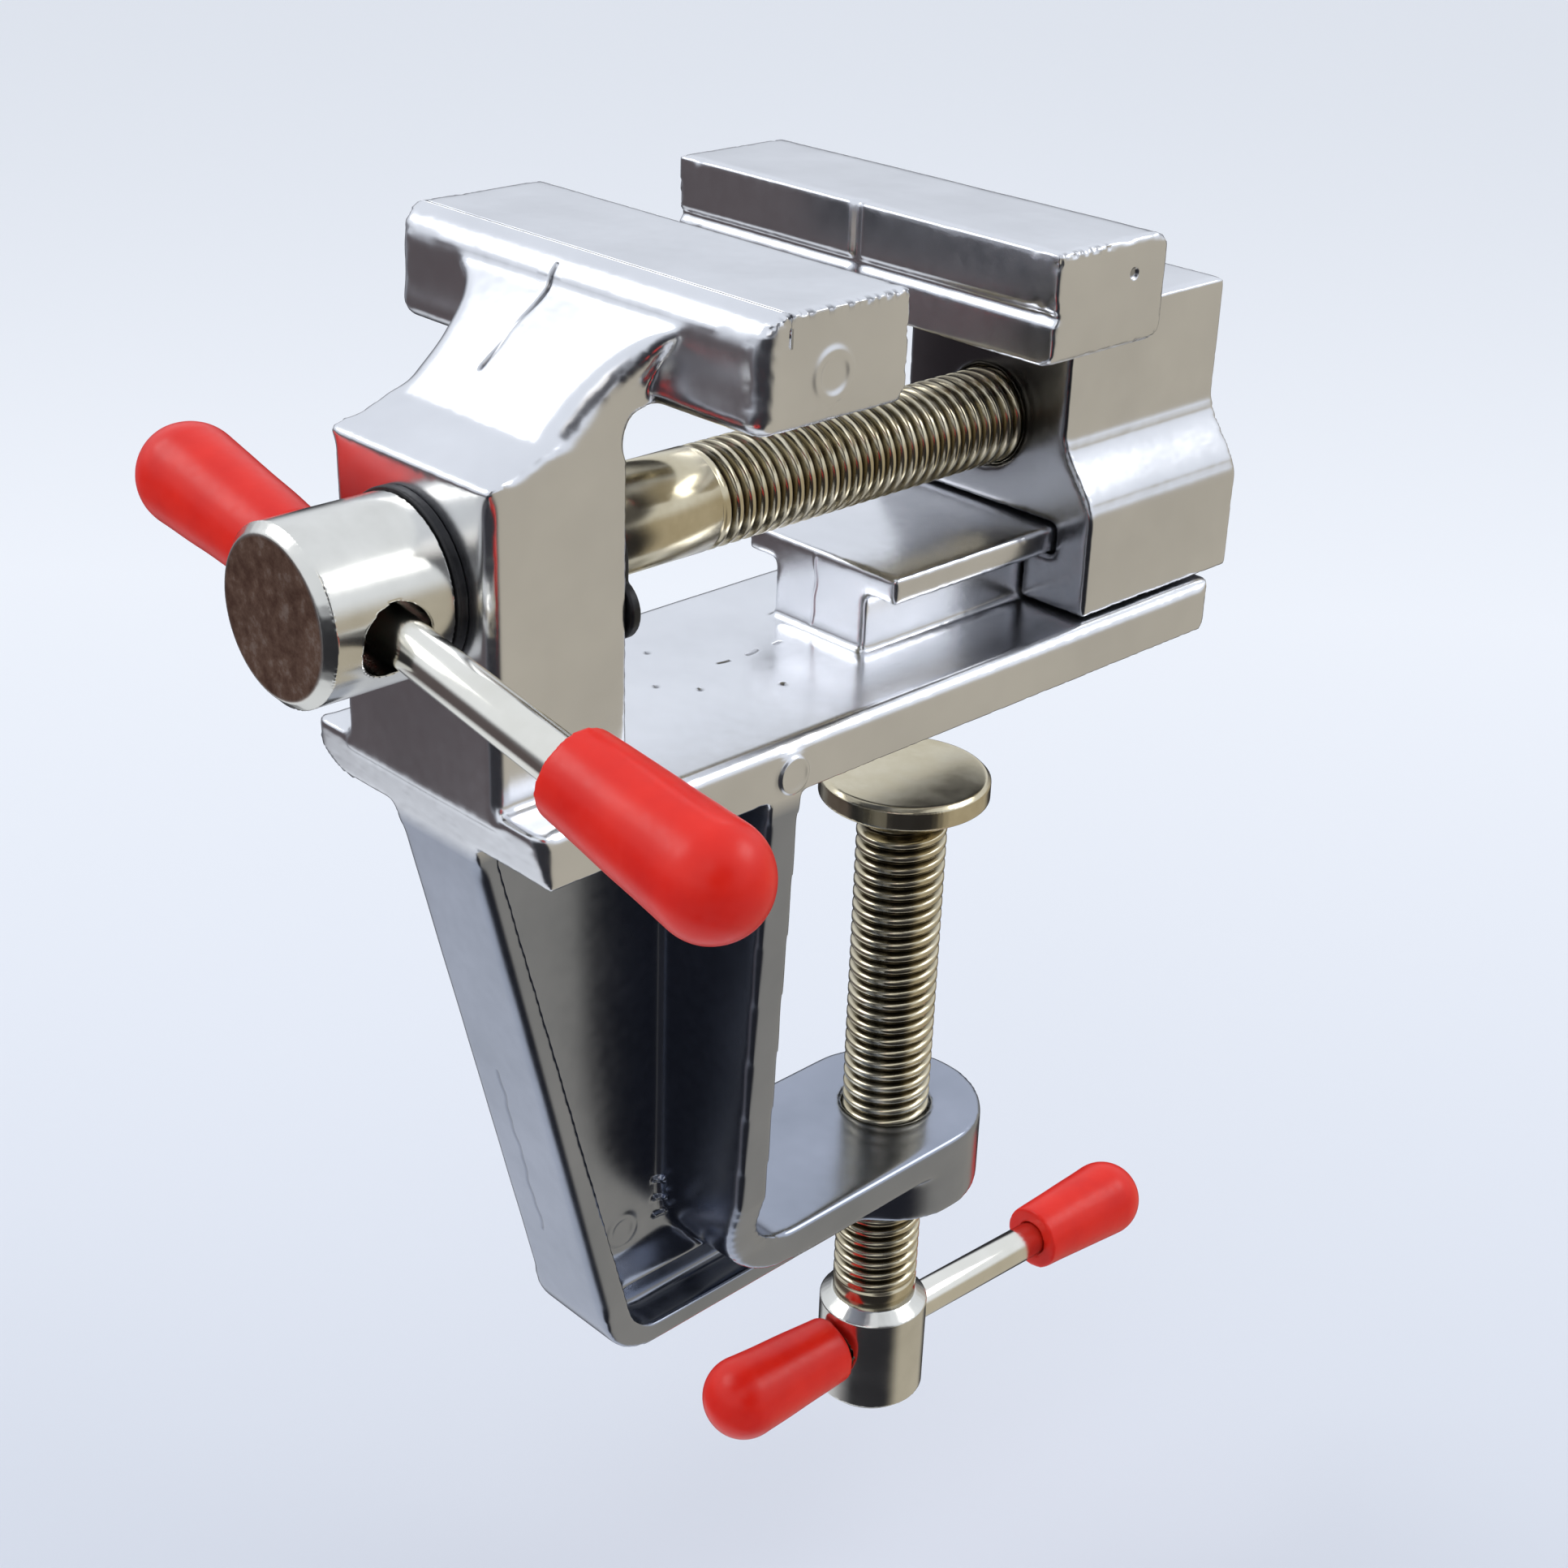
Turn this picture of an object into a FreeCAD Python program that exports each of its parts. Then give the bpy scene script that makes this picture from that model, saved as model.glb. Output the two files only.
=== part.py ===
import FreeCAD, Part
import math
import os
import Sketcher

# Small clamp-on bench vise.
# Frame: +Z up, +Y from the handle towards the sliding jaw, +X to the right seen from the handle.
# Origin: where the axis of the clamp screw meets the table seat (the underside of the base plate).

X_AXIS = FreeCAD.Vector(1, 0, 0)
Y_AXIS = FreeCAD.Vector(0, 1, 0)
Z_AXIS = FreeCAD.Vector(0, 0, 1)

DIMENSIONS = {
    # base plate, clamp leg and lug
    "plate_half": 13.3,
    "plate_front": -51.0,
    "plate_rear": 23.6,
    "plate_thick": 4.3,
    "plate_corner": 1.7,
    "stop_face": -26.0,
    "rear_flange": 3.2,
    "rear_flange_half_top": 13.3,
    "rear_flange_half_low": 11.2,
    "rear_flange_narrows": -38.0,
    "front_flange": 1.9,
    "front_flange_half": 4.8,
    "leg_front": -50.0,
    "leg_slope": 0.25,
    "web_half": 1.5,
    "lug_top": -45.4,
    "lug_bottom": -53.2,
    "lug_radius": 8.9,
    "leg_corner": 5.0,
    "throat_corner": 5.6,
    # tee rail
    "rail_front": -11.6,
    "rail_stem_half": 5.1,
    "rail_head_half": 8.3,
    "rail_head_low": 9.3,
    "rail_head_high": 11.5,
    # jaws
    "jaw_top": 38.8,
    "fixed_outer": -51.0,
    "fixed_inner": -39.3,
    "fixed_ledge": 27.5,
    "fixed_half": 8.8,
    "fixed_plate_outer": -37.6,
    "fixed_grip": -23.9,
    "fixed_plate_low": 30.7,
    "fixed_plate_half": 19.5,
    "fixed_throat": 2.5,
    "sliding_outer": 26.5,
    "sliding_inner": 7.0,
    "sliding_ledge": 29.3,
    "sliding_half": 8.7,
    "sliding_plate_outer": 3.8,
    "sliding_grip": -9.3,
    "sliding_plate_low": 30.5,
    "sliding_plate_half": 20.0,
    "sliding_throat": 5.0,
    "throat_reach": 4.0,
    "crease_reach": 8.5,
    "crease_level": 29.3,
    "incline_top": 36.6,
    "flare_top": 37.2,
    "flare_radius": 6.0,
    "jaw_corner": 1.6,
    "jaw_top_corner": 2.4,
    "jaw_low_corner": 1.3,
    "groove_depth": 0.55,
    "groove_level": 34.2,
    # foot of the sliding jaw
    "foot_half": 12.2,
    "foot_low": 4.6,
    "foot_high": 14.0,
    "foot_flare_high": 18.5,
    "slide_clearance": 0.25,
    # main screw, washer and clip
    "screw_level": 19.0,
    "screw_radius": 4.0,
    "screw_tip": 29.0,
    "screw_tip_chamfer": 1.0,
    "bearing_clearance": 0.1,
    "thread_clearance": 0.06,
    "head_radius": 6.35,
    "head_front": -61.9,
    "head_rear": -51.9,
    "head_chamfer": 0.7,
    "cross_hole_radius": 2.7,
    "cross_hole_centre": -56.5,
    "washer_radius": 6.6,
    "washer_thick": 0.8,
    "washer_gap": 0.02,
    "groove_radius": 3.2,
    "groove_front": -39.15,
    "groove_width": 0.9,
    "clip_radius": 7.9,
    "clip_ear_radius": 2.3,
    "clip_ear_out": 6.9,
    "clip_ear_down": 3.0,
    "clip_thick": 0.8,
    "clip_play": 0.05,
    "clip_mouth_half": 2.9,
    "clip_notch_radius": 1.5,
    "clip_notch_out": 4.1,
    "clip_notch_up": 2.6,
    # bars and end caps
    "bar_radius": 1.75,
    "main_cap_length": 16.4,
    "clamp_cap_length": 14.8,
    "cap_open_radius": 3.25,
    "cap_end_radius": 3.9,
    "bar_chamfer": 0.3,
    "main_bar_centre": -56.0,
    "main_bar_tilt": 10.0,
    "main_bar_near": 6.5,
    "main_bar_far": 23.8,
    "clamp_bar_level": -72.2,
    "clamp_bar_turn": 3.0,
    "clamp_bar_near": 5.4,
    "clamp_bar_far": 22.5,
    # clamp screw and swivel pad
    "clamp_head_radius": 5.2,
    "clamp_head_top": -67.2,
    "clamp_head_bottom": -78.6,
    "clamp_head_shoulder": 1.0,
    "clamp_hole_radius": 2.4,
    "clamp_screw_top": -15.6,
    "pad_top": -11.6,
    "pad_thick": 3.6,
    "pad_radius": 7.5,
    "pad_neck_radius": 2.6,
    "pad_ball_radius": 3.4,
    "pad_ball_height": 1.6,
    "pad_roof": 1.2,
    "pad_clearance": 0.08,
    "pad_skirt_wall": 2.4,
    "pad_skirt_height": 2.0,
    "pad_chamfer": 0.4,
}


def make_sheet(doc):
    sheet = doc.addObject("Spreadsheet::Sheet", "dims")
    for row, (alias, number) in enumerate(DIMENSIONS.items(), start=1):
        sheet.set("A%d" % row, alias)
        sheet.set("B%d" % row, str(number))
        sheet.setAlias("B%d" % row, alias)
    doc.recompute()
    return sheet


def bind(formula):
    """Put the sheet's name before every alias of a formula, and brackets round it."""
    words = []
    for word in formula.split():
        bare = word.lstrip("-")
        words.append(word.replace(bare, "dims." + bare) if bare in DIMENSIONS else word)
    return "(" + " ".join(words) + ")"


def length(formula):
    return bind(formula) + " * 1 mm"


def number(doc, formula):
    return float(doc.dims.evalExpression(bind(formula)))


def place(item, x="0", y="0", z="0"):
    for axis, formula in (("x", x), ("y", y), ("z", z)):
        item.setExpression("Placement.Base." + axis, length(formula))
    return item


def block(doc, name, x_range, y_range, z_range):
    """A box between three pairs of formulas."""
    item = doc.addObject("Part::Box", name)
    for side, (low, high) in zip(("Length", "Width", "Height"), (x_range, y_range, z_range)):
        item.setExpression(side, "(" + bind(high) + " - " + bind(low) + ") * 1 mm")
    return place(item, x_range[0], y_range[0], z_range[0])


def cylinder(doc, name, axis, radius, height, x="0", y="0", z="0"):
    """A cylinder that starts at a point and runs along an axis."""
    item = doc.addObject("Part::Cylinder", name)
    item.Placement.Rotation = FreeCAD.Rotation(Z_AXIS, axis)
    item.setExpression("Radius", length(radius))
    item.setExpression("Height", length(height))
    return place(item, x, y, z)


def fuse(doc, name, items):
    item = doc.addObject("Part::MultiFuse", name)
    item.Shapes = items
    item.Refine = True
    return item


def cut(doc, name, base, tools):
    item = doc.addObject("Part::Cut", name)
    item.Base = base
    item.Tool = tools[0] if len(tools) == 1 else fuse(doc, name + "_tools", tools)
    item.Refine = True
    return item


def common(doc, name, items):
    item = doc.addObject("Part::MultiCommon", name)
    item.Shapes = items
    item.Refine = True
    return item


def fillet(doc, name, base, radius, picked):
    """Round the edges of a shape for which picked(edge) is true."""
    doc.recompute()
    size = number(doc, radius)
    item = doc.addObject("Part::Fillet", name)
    item.Base = base
    edges = enumerate(base.Shape.Edges, start=1)
    item.Edges = [(index, size, size) for index, edge in edges if picked(edge)]
    return item


def runs_along(edge, axis):
    if not isinstance(edge.Curve, Part.Line):
        return False
    return abs(edge.Curve.Direction.dot(axis)) > 0.999


def new_sketch(body, name, plane):
    sketch = body.newObject("Sketcher::SketchObject", name)
    support = [item for item in body.Origin.OriginFeatures if item.Role == plane][0]
    sketch.AttachmentSupport = [(support, "")]
    sketch.MapMode = "FlatFace"
    return sketch


def draw_polygon(doc, sketch, points):
    """Draw a closed polygon whose corners are bound to pairs of formulas."""
    corners = [FreeCAD.Vector(number(doc, a), number(doc, b), 0) for a, b in points]
    following = corners[1:] + corners[:1]
    for start, end in zip(corners, following):
        sketch.addGeometry(Part.LineSegment(start, end))
    last = len(corners) - 1
    for index in range(len(corners)):
        following_index = 0 if index == last else index + 1
        sketch.addConstraint(Sketcher.Constraint("Coincident", index, 2, following_index, 1))
    for index, (corner, formulas) in enumerate(zip(corners, points)):
        for kind, now, formula in zip(("DistanceX", "DistanceY"), corner, formulas):
            entry = sketch.addConstraint(Sketcher.Constraint(kind, index, 1, now))
            sketch.setExpression("Constraints[%d]" % entry, length(formula))


def padded(doc, name, plane, points, depth_range):
    """A polygon on an origin plane, padded between two depths along the plane's normal."""
    body = doc.addObject("PartDesign::Body", name)
    sketch = new_sketch(body, name + "_sketch", plane)
    draw_polygon(doc, sketch, points)
    low, high = depth_range
    sketch.setExpression("AttachmentOffset.Base.z", length(low))
    pad = body.newObject("PartDesign::Pad", name + "_pad")
    pad.Profile = sketch
    pad.setExpression("Length", "(" + bind(high) + " - " + bind(low) + ") * 1 mm")
    return body


def round_corner(doc, body, radius, picked):
    """Round the picked edges of a padded body with a bound radius."""
    doc.recompute()
    pad = body.Tip
    names = ["Edge%d" % i for i, edge in enumerate(pad.Shape.Edges, start=1) if picked(edge)]
    feature = body.newObject("PartDesign::Fillet", body.Name + "_fillet")
    feature.Base = (pad, names)
    feature.setExpression("Radius", length(radius))
    return body


def turned(doc, name, points):
    """A (radius, height) polygon revolved about the body's own Z axis."""
    body = doc.addObject("PartDesign::Body", name)
    sketch = new_sketch(body, name + "_sketch", "XZ_Plane")
    draw_polygon(doc, sketch, points)
    revolution = body.newObject("PartDesign::Revolution", name + "_revolution")
    revolution.Profile = sketch
    revolution.ReferenceAxis = (sketch, ["V_Axis"])
    revolution.Angle = 360
    return body


def jaw_neck(doc, name, half, blocks, outward):
    """The part of a jaw between its body and its grip plate: sloping outside, flared at its sides."""
    outer, inner, ledge = name + "_outer", name + "_inner", name + "_ledge"
    plate_outer = name + "_plate_outer"
    into = " + " if outward < 0 else " - "
    out = " - " if outward < 0 else " + "
    flare_low = "flare_top - flare_radius"

    def ordered(near, far):
        return (near, far) if outward < 0 else (far, near)

    body = fuse(doc, name + "_neck_body", blocks + [
        block(doc, name + "_neck_low", ("-" + half, half), ordered(outer, inner),
              (ledge + " - 4", flare_low)),
        block(doc, name + "_neck_high", ("-" + half + " - flare_radius", half + " + flare_radius"),
              ordered(outer, plate_outer + into + "throat_reach"), (flare_low, "flare_top")),
    ])
    beyond = outer + out + "1"
    slope = padded(doc, name + "_slope", "YZ_Plane", [
        (beyond, ledge), (outer, ledge), (plate_outer + out + "crease_reach", "crease_level"),
        (plate_outer, "incline_top"), (plate_outer, "jaw_top + 1"), (beyond, "jaw_top + 1")],
        ("-" + half + " - 2 * flare_radius", half + " + 2 * flare_radius"))
    start = ordered(outer, inner)[0] + " - 10"
    flares = [
        cylinder(doc, name + "_flare_" + word, Y_AXIS, "flare_radius", "sliding_outer - fixed_outer",
                 sign + half + " " + plus + " flare_radius", start, flare_low)
        for word, sign, plus in (("left", "-", "-"), ("right", "", "+"))
    ]
    return cut(doc, name + "_neck", body, [slope] + flares)


def jaw_plate(doc, name, outward):
    """The overhanging grip plate of a jaw, with its outer edges rounded."""
    plate_outer, plate_low, half = name + "_plate_outer", name + "_plate_low", name + "_plate_half"
    faces = (plate_outer, name + "_grip") if outward < 0 else (name + "_grip", plate_outer)
    plate = block(doc, name + "_plate_block", ("-" + half, half), faces, (plate_low, "jaw_top"))
    plate = fillet(doc, name + "_plate_upright", plate, "jaw_corner", lambda edge: runs_along(edge, Z_AXIS)
                   and outward * (edge.CenterOfMass.y - number(doc, plate_outer)) > -0.01)
    plate = fillet(doc, name + "_plate_low", plate, "jaw_low_corner", lambda edge: runs_along(edge, Y_AXIS)
                   and edge.CenterOfMass.z < number(doc, plate_low) + 0.01)
    into = " + " if outward < 0 else " - "
    out = " - " if outward < 0 else " + "
    centre = plate_outer + into + "jaw_top_corner"
    corner = (plate_outer + out + "1", centre) if outward < 0 else (centre, plate_outer + out + "1")
    rounder = cut(doc, name + "_plate_rounder", block(
        doc, name + "_plate_edge", ("-" + half + " - 1", half + " + 1"), corner,
        ("jaw_top - jaw_top_corner", "jaw_top + 1")), [
        cylinder(doc, name + "_plate_round", X_AXIS, "jaw_top_corner", "2 * " + half + " + 4",
                 "-" + half + " - 2", centre, "jaw_top - jaw_top_corner")])
    return cut(doc, name + "_plate", plate, [rounder])


def jaw_head(doc, name, half, blocks, outward):
    """The body, the flared neck and the overhanging grip plate of one jaw.

    outward is -1 where the jaw's outer side faces -Y, and 1 where it faces +Y.
    """
    inner, plate_low, throat = name + "_inner", name + "_plate_low", name + "_throat"
    throat_edge = inner + (" + " if outward < 0 else " - ") + throat
    reach = (inner, throat_edge) if outward < 0 else (throat_edge, inner)
    corner = block(doc, name + "_throat_corner", ("-" + half, half), reach,
                   (plate_low + " - " + throat, "flare_top - flare_radius"))
    hollow = cylinder(doc, name + "_throat_round", X_AXIS, throat, "2 * " + half, "-" + half,
                      throat_edge, plate_low + " - " + throat)
    return [jaw_neck(doc, name, half, blocks, outward),
            cut(doc, name + "_throat_fillet", corner, [hollow]), jaw_plate(doc, name, outward)]


def leg_profile(doc, name, half):
    """The solid outline of the leg and arm seen from the side, with its rounded lower corner."""
    foot = "leg_front - leg_slope * lug_bottom"
    body = padded(doc, name, "YZ_Plane", [
        ("leg_front", "1"), ("leg_front", "0"), (foot, "lug_bottom"), ("0", "lug_bottom"),
        ("0", "lug_top"), ("stop_face", "lug_top"), ("stop_face", "1")], ("-" + half, half))
    return round_corner(doc, body, "leg_corner", lambda edge: is_leg_corner(
        doc, edge, "lug_bottom", "stop_face"))


def leg_hollow(doc):
    """The space inside the leg's rim, offset from its outline by the flange thickness."""
    foot = "leg_front - leg_slope * lug_bottom"
    inner_foot = foot + " + front_flange + leg_slope * front_flange"
    floor = "lug_bottom + front_flange"
    body = padded(doc, "leg_hollow", "YZ_Plane", [
        ("leg_front + front_flange", "0"), (inner_foot, floor), ("-lug_radius + 1", floor),
        ("-lug_radius + 1", "lug_top + 1"), ("stop_face + 1", "lug_top + 1"), ("stop_face + 1", "0")],
        ("-front_flange_half - 1", "front_flange_half + 1"))
    radius = "leg_corner - front_flange"
    return round_corner(doc, body, radius, lambda edge: is_leg_corner(doc, edge, floor, "stop_face"))


def leg_strip(doc):
    """The rear flange and the arm: one strip with a bend, narrower towards the lug."""
    side = padded(doc, "strip_side", "YZ_Plane", [
        ("stop_face - rear_flange", "1"), ("stop_face - rear_flange", "lug_top - rear_flange"),
        ("0", "lug_top - rear_flange"), ("0", "lug_top"), ("stop_face", "lug_top"), ("stop_face", "1")],
        ("-plate_half", "plate_half"))
    round_corner(doc, side, "rear_flange + throat_corner", lambda edge: is_leg_corner(
        doc, edge, "lug_top - rear_flange", "stop_face - 1"))
    round_corner(doc, side, "throat_corner", lambda edge: is_leg_corner(
        doc, edge, "lug_top", "stop_face + 1"))
    front = padded(doc, "strip_front", "XZ_Plane", [
        ("-rear_flange_half_top", "1"), ("-rear_flange_half_top", "0"),
        ("-rear_flange_half_low", "rear_flange_narrows"), ("-lug_radius", "lug_top"),
        ("-lug_radius", "lug_bottom"), ("lug_radius", "lug_bottom"), ("lug_radius", "lug_top"),
        ("rear_flange_half_low", "rear_flange_narrows"), ("rear_flange_half_top", "0"),
        ("rear_flange_half_top", "1")], ("-1", "-stop_face + rear_flange + 1"))
    return common(doc, "leg_strip", [side, front])


def is_leg_corner(doc, edge, level, before):
    """Whether an edge runs across the leg at a level, in front of a limit."""
    if not runs_along(edge, X_AXIS):
        return False
    middle = edge.CenterOfMass
    return abs(middle.z - number(doc, level)) < 0.01 and middle.y < number(doc, before)


def make_clamp_leg(doc):
    """The C shaped leg under the plate: rim, web, bent strip and lug."""
    rim = cut(doc, "leg_rim", leg_profile(doc, "leg_outline", "front_flange_half"), [leg_hollow(doc)])
    web = leg_profile(doc, "leg_web", "web_half")
    lug = cylinder(doc, "leg_lug", Z_AXIS, "lug_radius", "lug_top - lug_bottom", z="lug_bottom")
    return [rim, web, leg_strip(doc), lug]


def base_plate(doc):
    """The plate under the jaws. Its front end leans back into the front of the leg."""
    square = block(doc, "plate_block", ("-plate_half", "plate_half"), ("plate_front", "plate_rear"),
                   ("0", "plate_thick"))
    rounded = fillet(doc, "plate_rounded", square, "plate_corner", lambda edge: runs_along(edge, Z_AXIS))
    side = padded(doc, "plate_side", "YZ_Plane", [
        ("plate_front", "plate_thick"), ("leg_front", "0"), ("plate_rear", "0"),
        ("plate_rear", "plate_thick")], ("-plate_half", "plate_half"))
    return common(doc, "plate", [rounded, side])


def make_clamp_frame(doc):
    plate = base_plate(doc)
    stem = block(doc, "rail_stem", ("-rail_stem_half", "rail_stem_half"), ("rail_front", "plate_rear"),
                 ("plate_thick - 1", "rail_head_high"))
    head = block(doc, "rail_head", ("-rail_head_half", "rail_head_half"), ("rail_front", "plate_rear"),
                 ("rail_head_low", "rail_head_high"))
    column = block(doc, "fixed_column", ("-fixed_half", "fixed_half"), ("fixed_outer", "fixed_inner"),
                   ("plate_thick - 1", "fixed_ledge"))
    jaw = jaw_head(doc, "fixed", "fixed_half", [column], -1)
    casting = fuse(doc, "frame_casting", [plate, stem, head] + jaw + make_clamp_leg(doc))
    bore = cylinder(doc, "frame_bore", Y_AXIS, "screw_radius + bearing_clearance",
                    "fixed_inner - fixed_outer + 4", "0", "fixed_outer - 2", "screw_level")
    thread = cylinder(doc, "lug_bore", Z_AXIS, "screw_radius + thread_clearance", "lug_top - lug_bottom + 4",
                      z="lug_bottom - 2")
    return cut(doc, "clamp_frame", casting, [bore, thread])


def make_sliding_jaw(doc):
    foot = padded(doc, "foot_block", "XZ_Plane", [
        ("-foot_half", "foot_low"), ("foot_half", "foot_low"), ("foot_half", "foot_high"),
        ("sliding_half", "foot_flare_high"), ("sliding_half", "sliding_ledge"),
        ("-sliding_half", "sliding_ledge"), ("-sliding_half", "foot_flare_high"),
        ("-foot_half", "foot_high")],
        ("-sliding_outer", "-sliding_inner"))
    casting = fuse(doc, "jaw_casting", jaw_head(doc, "sliding", "sliding_half", [foot], 1))
    run = ("sliding_inner - 1", "sliding_outer + 1")
    head_half = "rail_head_half + slide_clearance"
    stem_half = "rail_stem_half + slide_clearance"
    head_slot = block(doc, "slot_head", ("-rail_head_half - slide_clearance", head_half), run,
                      ("rail_head_low - slide_clearance", "rail_head_high + slide_clearance"))
    stem_slot = block(doc, "slot_stem", ("-rail_stem_half - slide_clearance", stem_half), run,
                      ("foot_low - 1", "rail_head_high"))
    bore = cylinder(doc, "jaw_bore", Y_AXIS, "screw_radius + thread_clearance",
                    "sliding_outer - sliding_inner + 8", "0", "sliding_inner - 4", "screw_level")
    grooves = [
        padded(doc, "grip_groove_upright", "XY_Plane", [
            ("-groove_depth", "sliding_grip - 0.01"), ("0", "sliding_grip + groove_depth"),
            ("groove_depth", "sliding_grip - 0.01")], ("sliding_plate_low - 1", "jaw_top + 1")),
        padded(doc, "grip_groove_level", "YZ_Plane", [
            ("sliding_grip - 0.01", "groove_level - groove_depth"),
            ("sliding_grip + groove_depth", "groove_level"),
            ("sliding_grip - 0.01", "groove_level + groove_depth")],
            ("-sliding_plate_half - 1", "sliding_plate_half + 1")),
    ]
    return cut(doc, "sliding_jaw", casting, [head_slot, stem_slot, bore] + grooves)


def make_main_screw(doc):
    blank = turned(doc, "main_screw_blank", [
        ("0", "head_front"), ("head_radius - head_chamfer", "head_front"),
        ("head_radius", "head_front + head_chamfer"), ("head_radius", "head_rear"),
        ("screw_radius", "head_rear"), ("screw_radius", "groove_front"), ("groove_radius", "groove_front"),
        ("groove_radius", "groove_front + groove_width"), ("screw_radius", "groove_front + groove_width"),
        ("screw_radius", "screw_tip - screw_tip_chamfer"), ("screw_radius - screw_tip_chamfer", "screw_tip"),
        ("0", "screw_tip")])
    blank.Placement.Rotation = FreeCAD.Rotation(Z_AXIS, Y_AXIS)
    place(blank, z="screw_level")
    hole = doc.addObject("Part::Cylinder", "head_cross_hole")
    hole.setExpression("Radius", length("cross_hole_radius"))
    hole.setExpression("Height", length("4 * head_radius"))
    hole.Placement = main_bar_placement(doc, -2 * DIMENSIONS["head_radius"], "cross_hole_centre")
    return cut(doc, "main_screw", blank, [hole])


def main_bar_direction():
    tilt = math.radians(DIMENSIONS["main_bar_tilt"])
    return FreeCAD.Vector(math.cos(tilt), 0, -math.sin(tilt))


def clamp_bar_direction():
    turn = math.radians(DIMENSIONS["clamp_bar_turn"])
    return FreeCAD.Vector(math.sin(turn), math.cos(turn), 0)


def main_bar_placement(doc, along, centre="main_bar_centre"):
    """Placement of a piece that lies along the main bar, from a distance along it."""
    middle = FreeCAD.Vector(0, number(doc, centre), number(doc, "screw_level"))
    direction = main_bar_direction()
    return FreeCAD.Placement(middle + direction * along, FreeCAD.Rotation(Z_AXIS, direction))


def clamp_bar_placement(doc, along):
    middle = FreeCAD.Vector(0, 0, number(doc, "clamp_bar_level"))
    direction = clamp_bar_direction()
    return FreeCAD.Placement(middle + direction * along, FreeCAD.Rotation(Z_AXIS, direction))


def make_washer(doc):
    hole = "screw_radius + bearing_clearance"
    front = "fixed_outer - washer_thick - washer_gap"
    rear = "fixed_outer - washer_gap"
    washer = turned(doc, "thrust_washer", [
        (hole, front), ("washer_radius", front), ("washer_radius", rear), (hole, rear)])
    washer.Placement.Rotation = FreeCAD.Rotation(Z_AXIS, Y_AXIS)
    return place(washer, z="screw_level")


def make_clip(doc):
    """An E shaped clip with two round ears, open downwards, in the groove of the main screw."""
    front = "groove_front + clip_play"
    far_below = "screw_level - clip_radius - 1"
    through = "clip_thick + 2"
    disc = fuse(doc, "clip_blank", [
        cylinder(doc, "clip_disc", Y_AXIS, "clip_radius", "clip_thick", "0", front, "screw_level"),
        cylinder(doc, "clip_ear_left", Y_AXIS, "clip_ear_radius", "clip_thick", "-clip_ear_out", front,
                 "screw_level - clip_ear_down"),
        cylinder(doc, "clip_ear_right", Y_AXIS, "clip_ear_radius", "clip_thick", "clip_ear_out", front,
                 "screw_level - clip_ear_down"),
    ])
    bore = cylinder(doc, "clip_bore", Y_AXIS, "groove_radius + clip_play", through, "0", front + " - 1",
                    "screw_level")
    mouth = block(doc, "clip_mouth", ("-clip_mouth_half", "clip_mouth_half"),
                  (front + " - 1", front + " + clip_thick + 1"), (far_below, "screw_level"))
    notches = [
        cylinder(doc, "clip_notch_" + word, Y_AXIS, "clip_notch_radius", through, sign + "clip_notch_out",
                 front + " - 1", "screw_level + clip_notch_up")
        for word, sign in (("left", "-"), ("right", ""))
    ]
    return cut(doc, "retaining_clip", disc, [bore, mouth] + notches)


def make_bar(doc, name, cap_length, placement):
    """A plain round bar with small chamfers, drawn from its near end."""
    total = name + "_near + " + name + "_far + 2 * " + cap_length + " - 2 * cap_end_radius"
    bar = turned(doc, name, [
        ("0", "0"), ("bar_radius - bar_chamfer", "0"), ("bar_radius", "bar_chamfer"),
        ("bar_radius", total + " - bar_chamfer"), ("bar_radius - bar_chamfer", total), ("0", total)])
    bar.Placement = placement
    return bar


def make_cap(doc, name, cap_length, placement):
    """A dipped plastic end cap: a slightly flared sleeve with a domed end."""
    sleeve = doc.addObject("Part::Cone", name + "_sleeve")
    sleeve.setExpression("Radius1", length("cap_open_radius"))
    sleeve.setExpression("Radius2", length("cap_end_radius"))
    sleeve.setExpression("Height", length(cap_length + " - cap_end_radius"))
    dome = doc.addObject("Part::Sphere", name + "_dome")
    dome.setExpression("Radius", length("cap_end_radius"))
    place(dome, z=cap_length + " - cap_end_radius")
    bore = cylinder(doc, name + "_bore", Z_AXIS, "bar_radius", cap_length + " - cap_end_radius + 1", z="-1")
    cap = cut(doc, name, fuse(doc, name + "_solid", [sleeve, dome]), [bore])
    cap.Placement = placement
    return cap


def turn_round(placement):
    """The same place, looking back along the bar."""
    half_turn = FreeCAD.Placement(FreeCAD.Vector(0, 0, 0), FreeCAD.Rotation(X_AXIS, 180))
    return placement.multiply(half_turn)


def make_bars(doc):
    pieces = []
    for bar, cap_length, lies_at, near_word, far_word in (
            ("main_bar", "main_cap_length", main_bar_placement, "left", "right"),
            ("clamp_bar", "clamp_cap_length", clamp_bar_placement, "front", "rear")):
        near, far = number(doc, bar + "_near"), number(doc, bar + "_far")
        depth = number(doc, cap_length + " - cap_end_radius")
        near_cap = turn_round(lies_at(doc, -near))
        pieces.append(make_bar(doc, bar, cap_length, lies_at(doc, -near - depth)))
        pieces.append(make_cap(doc, bar + "_cap_" + far_word, cap_length, lies_at(doc, far)))
        pieces.append(make_cap(doc, bar + "_cap_" + near_word, cap_length, near_cap))
    return pieces


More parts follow.
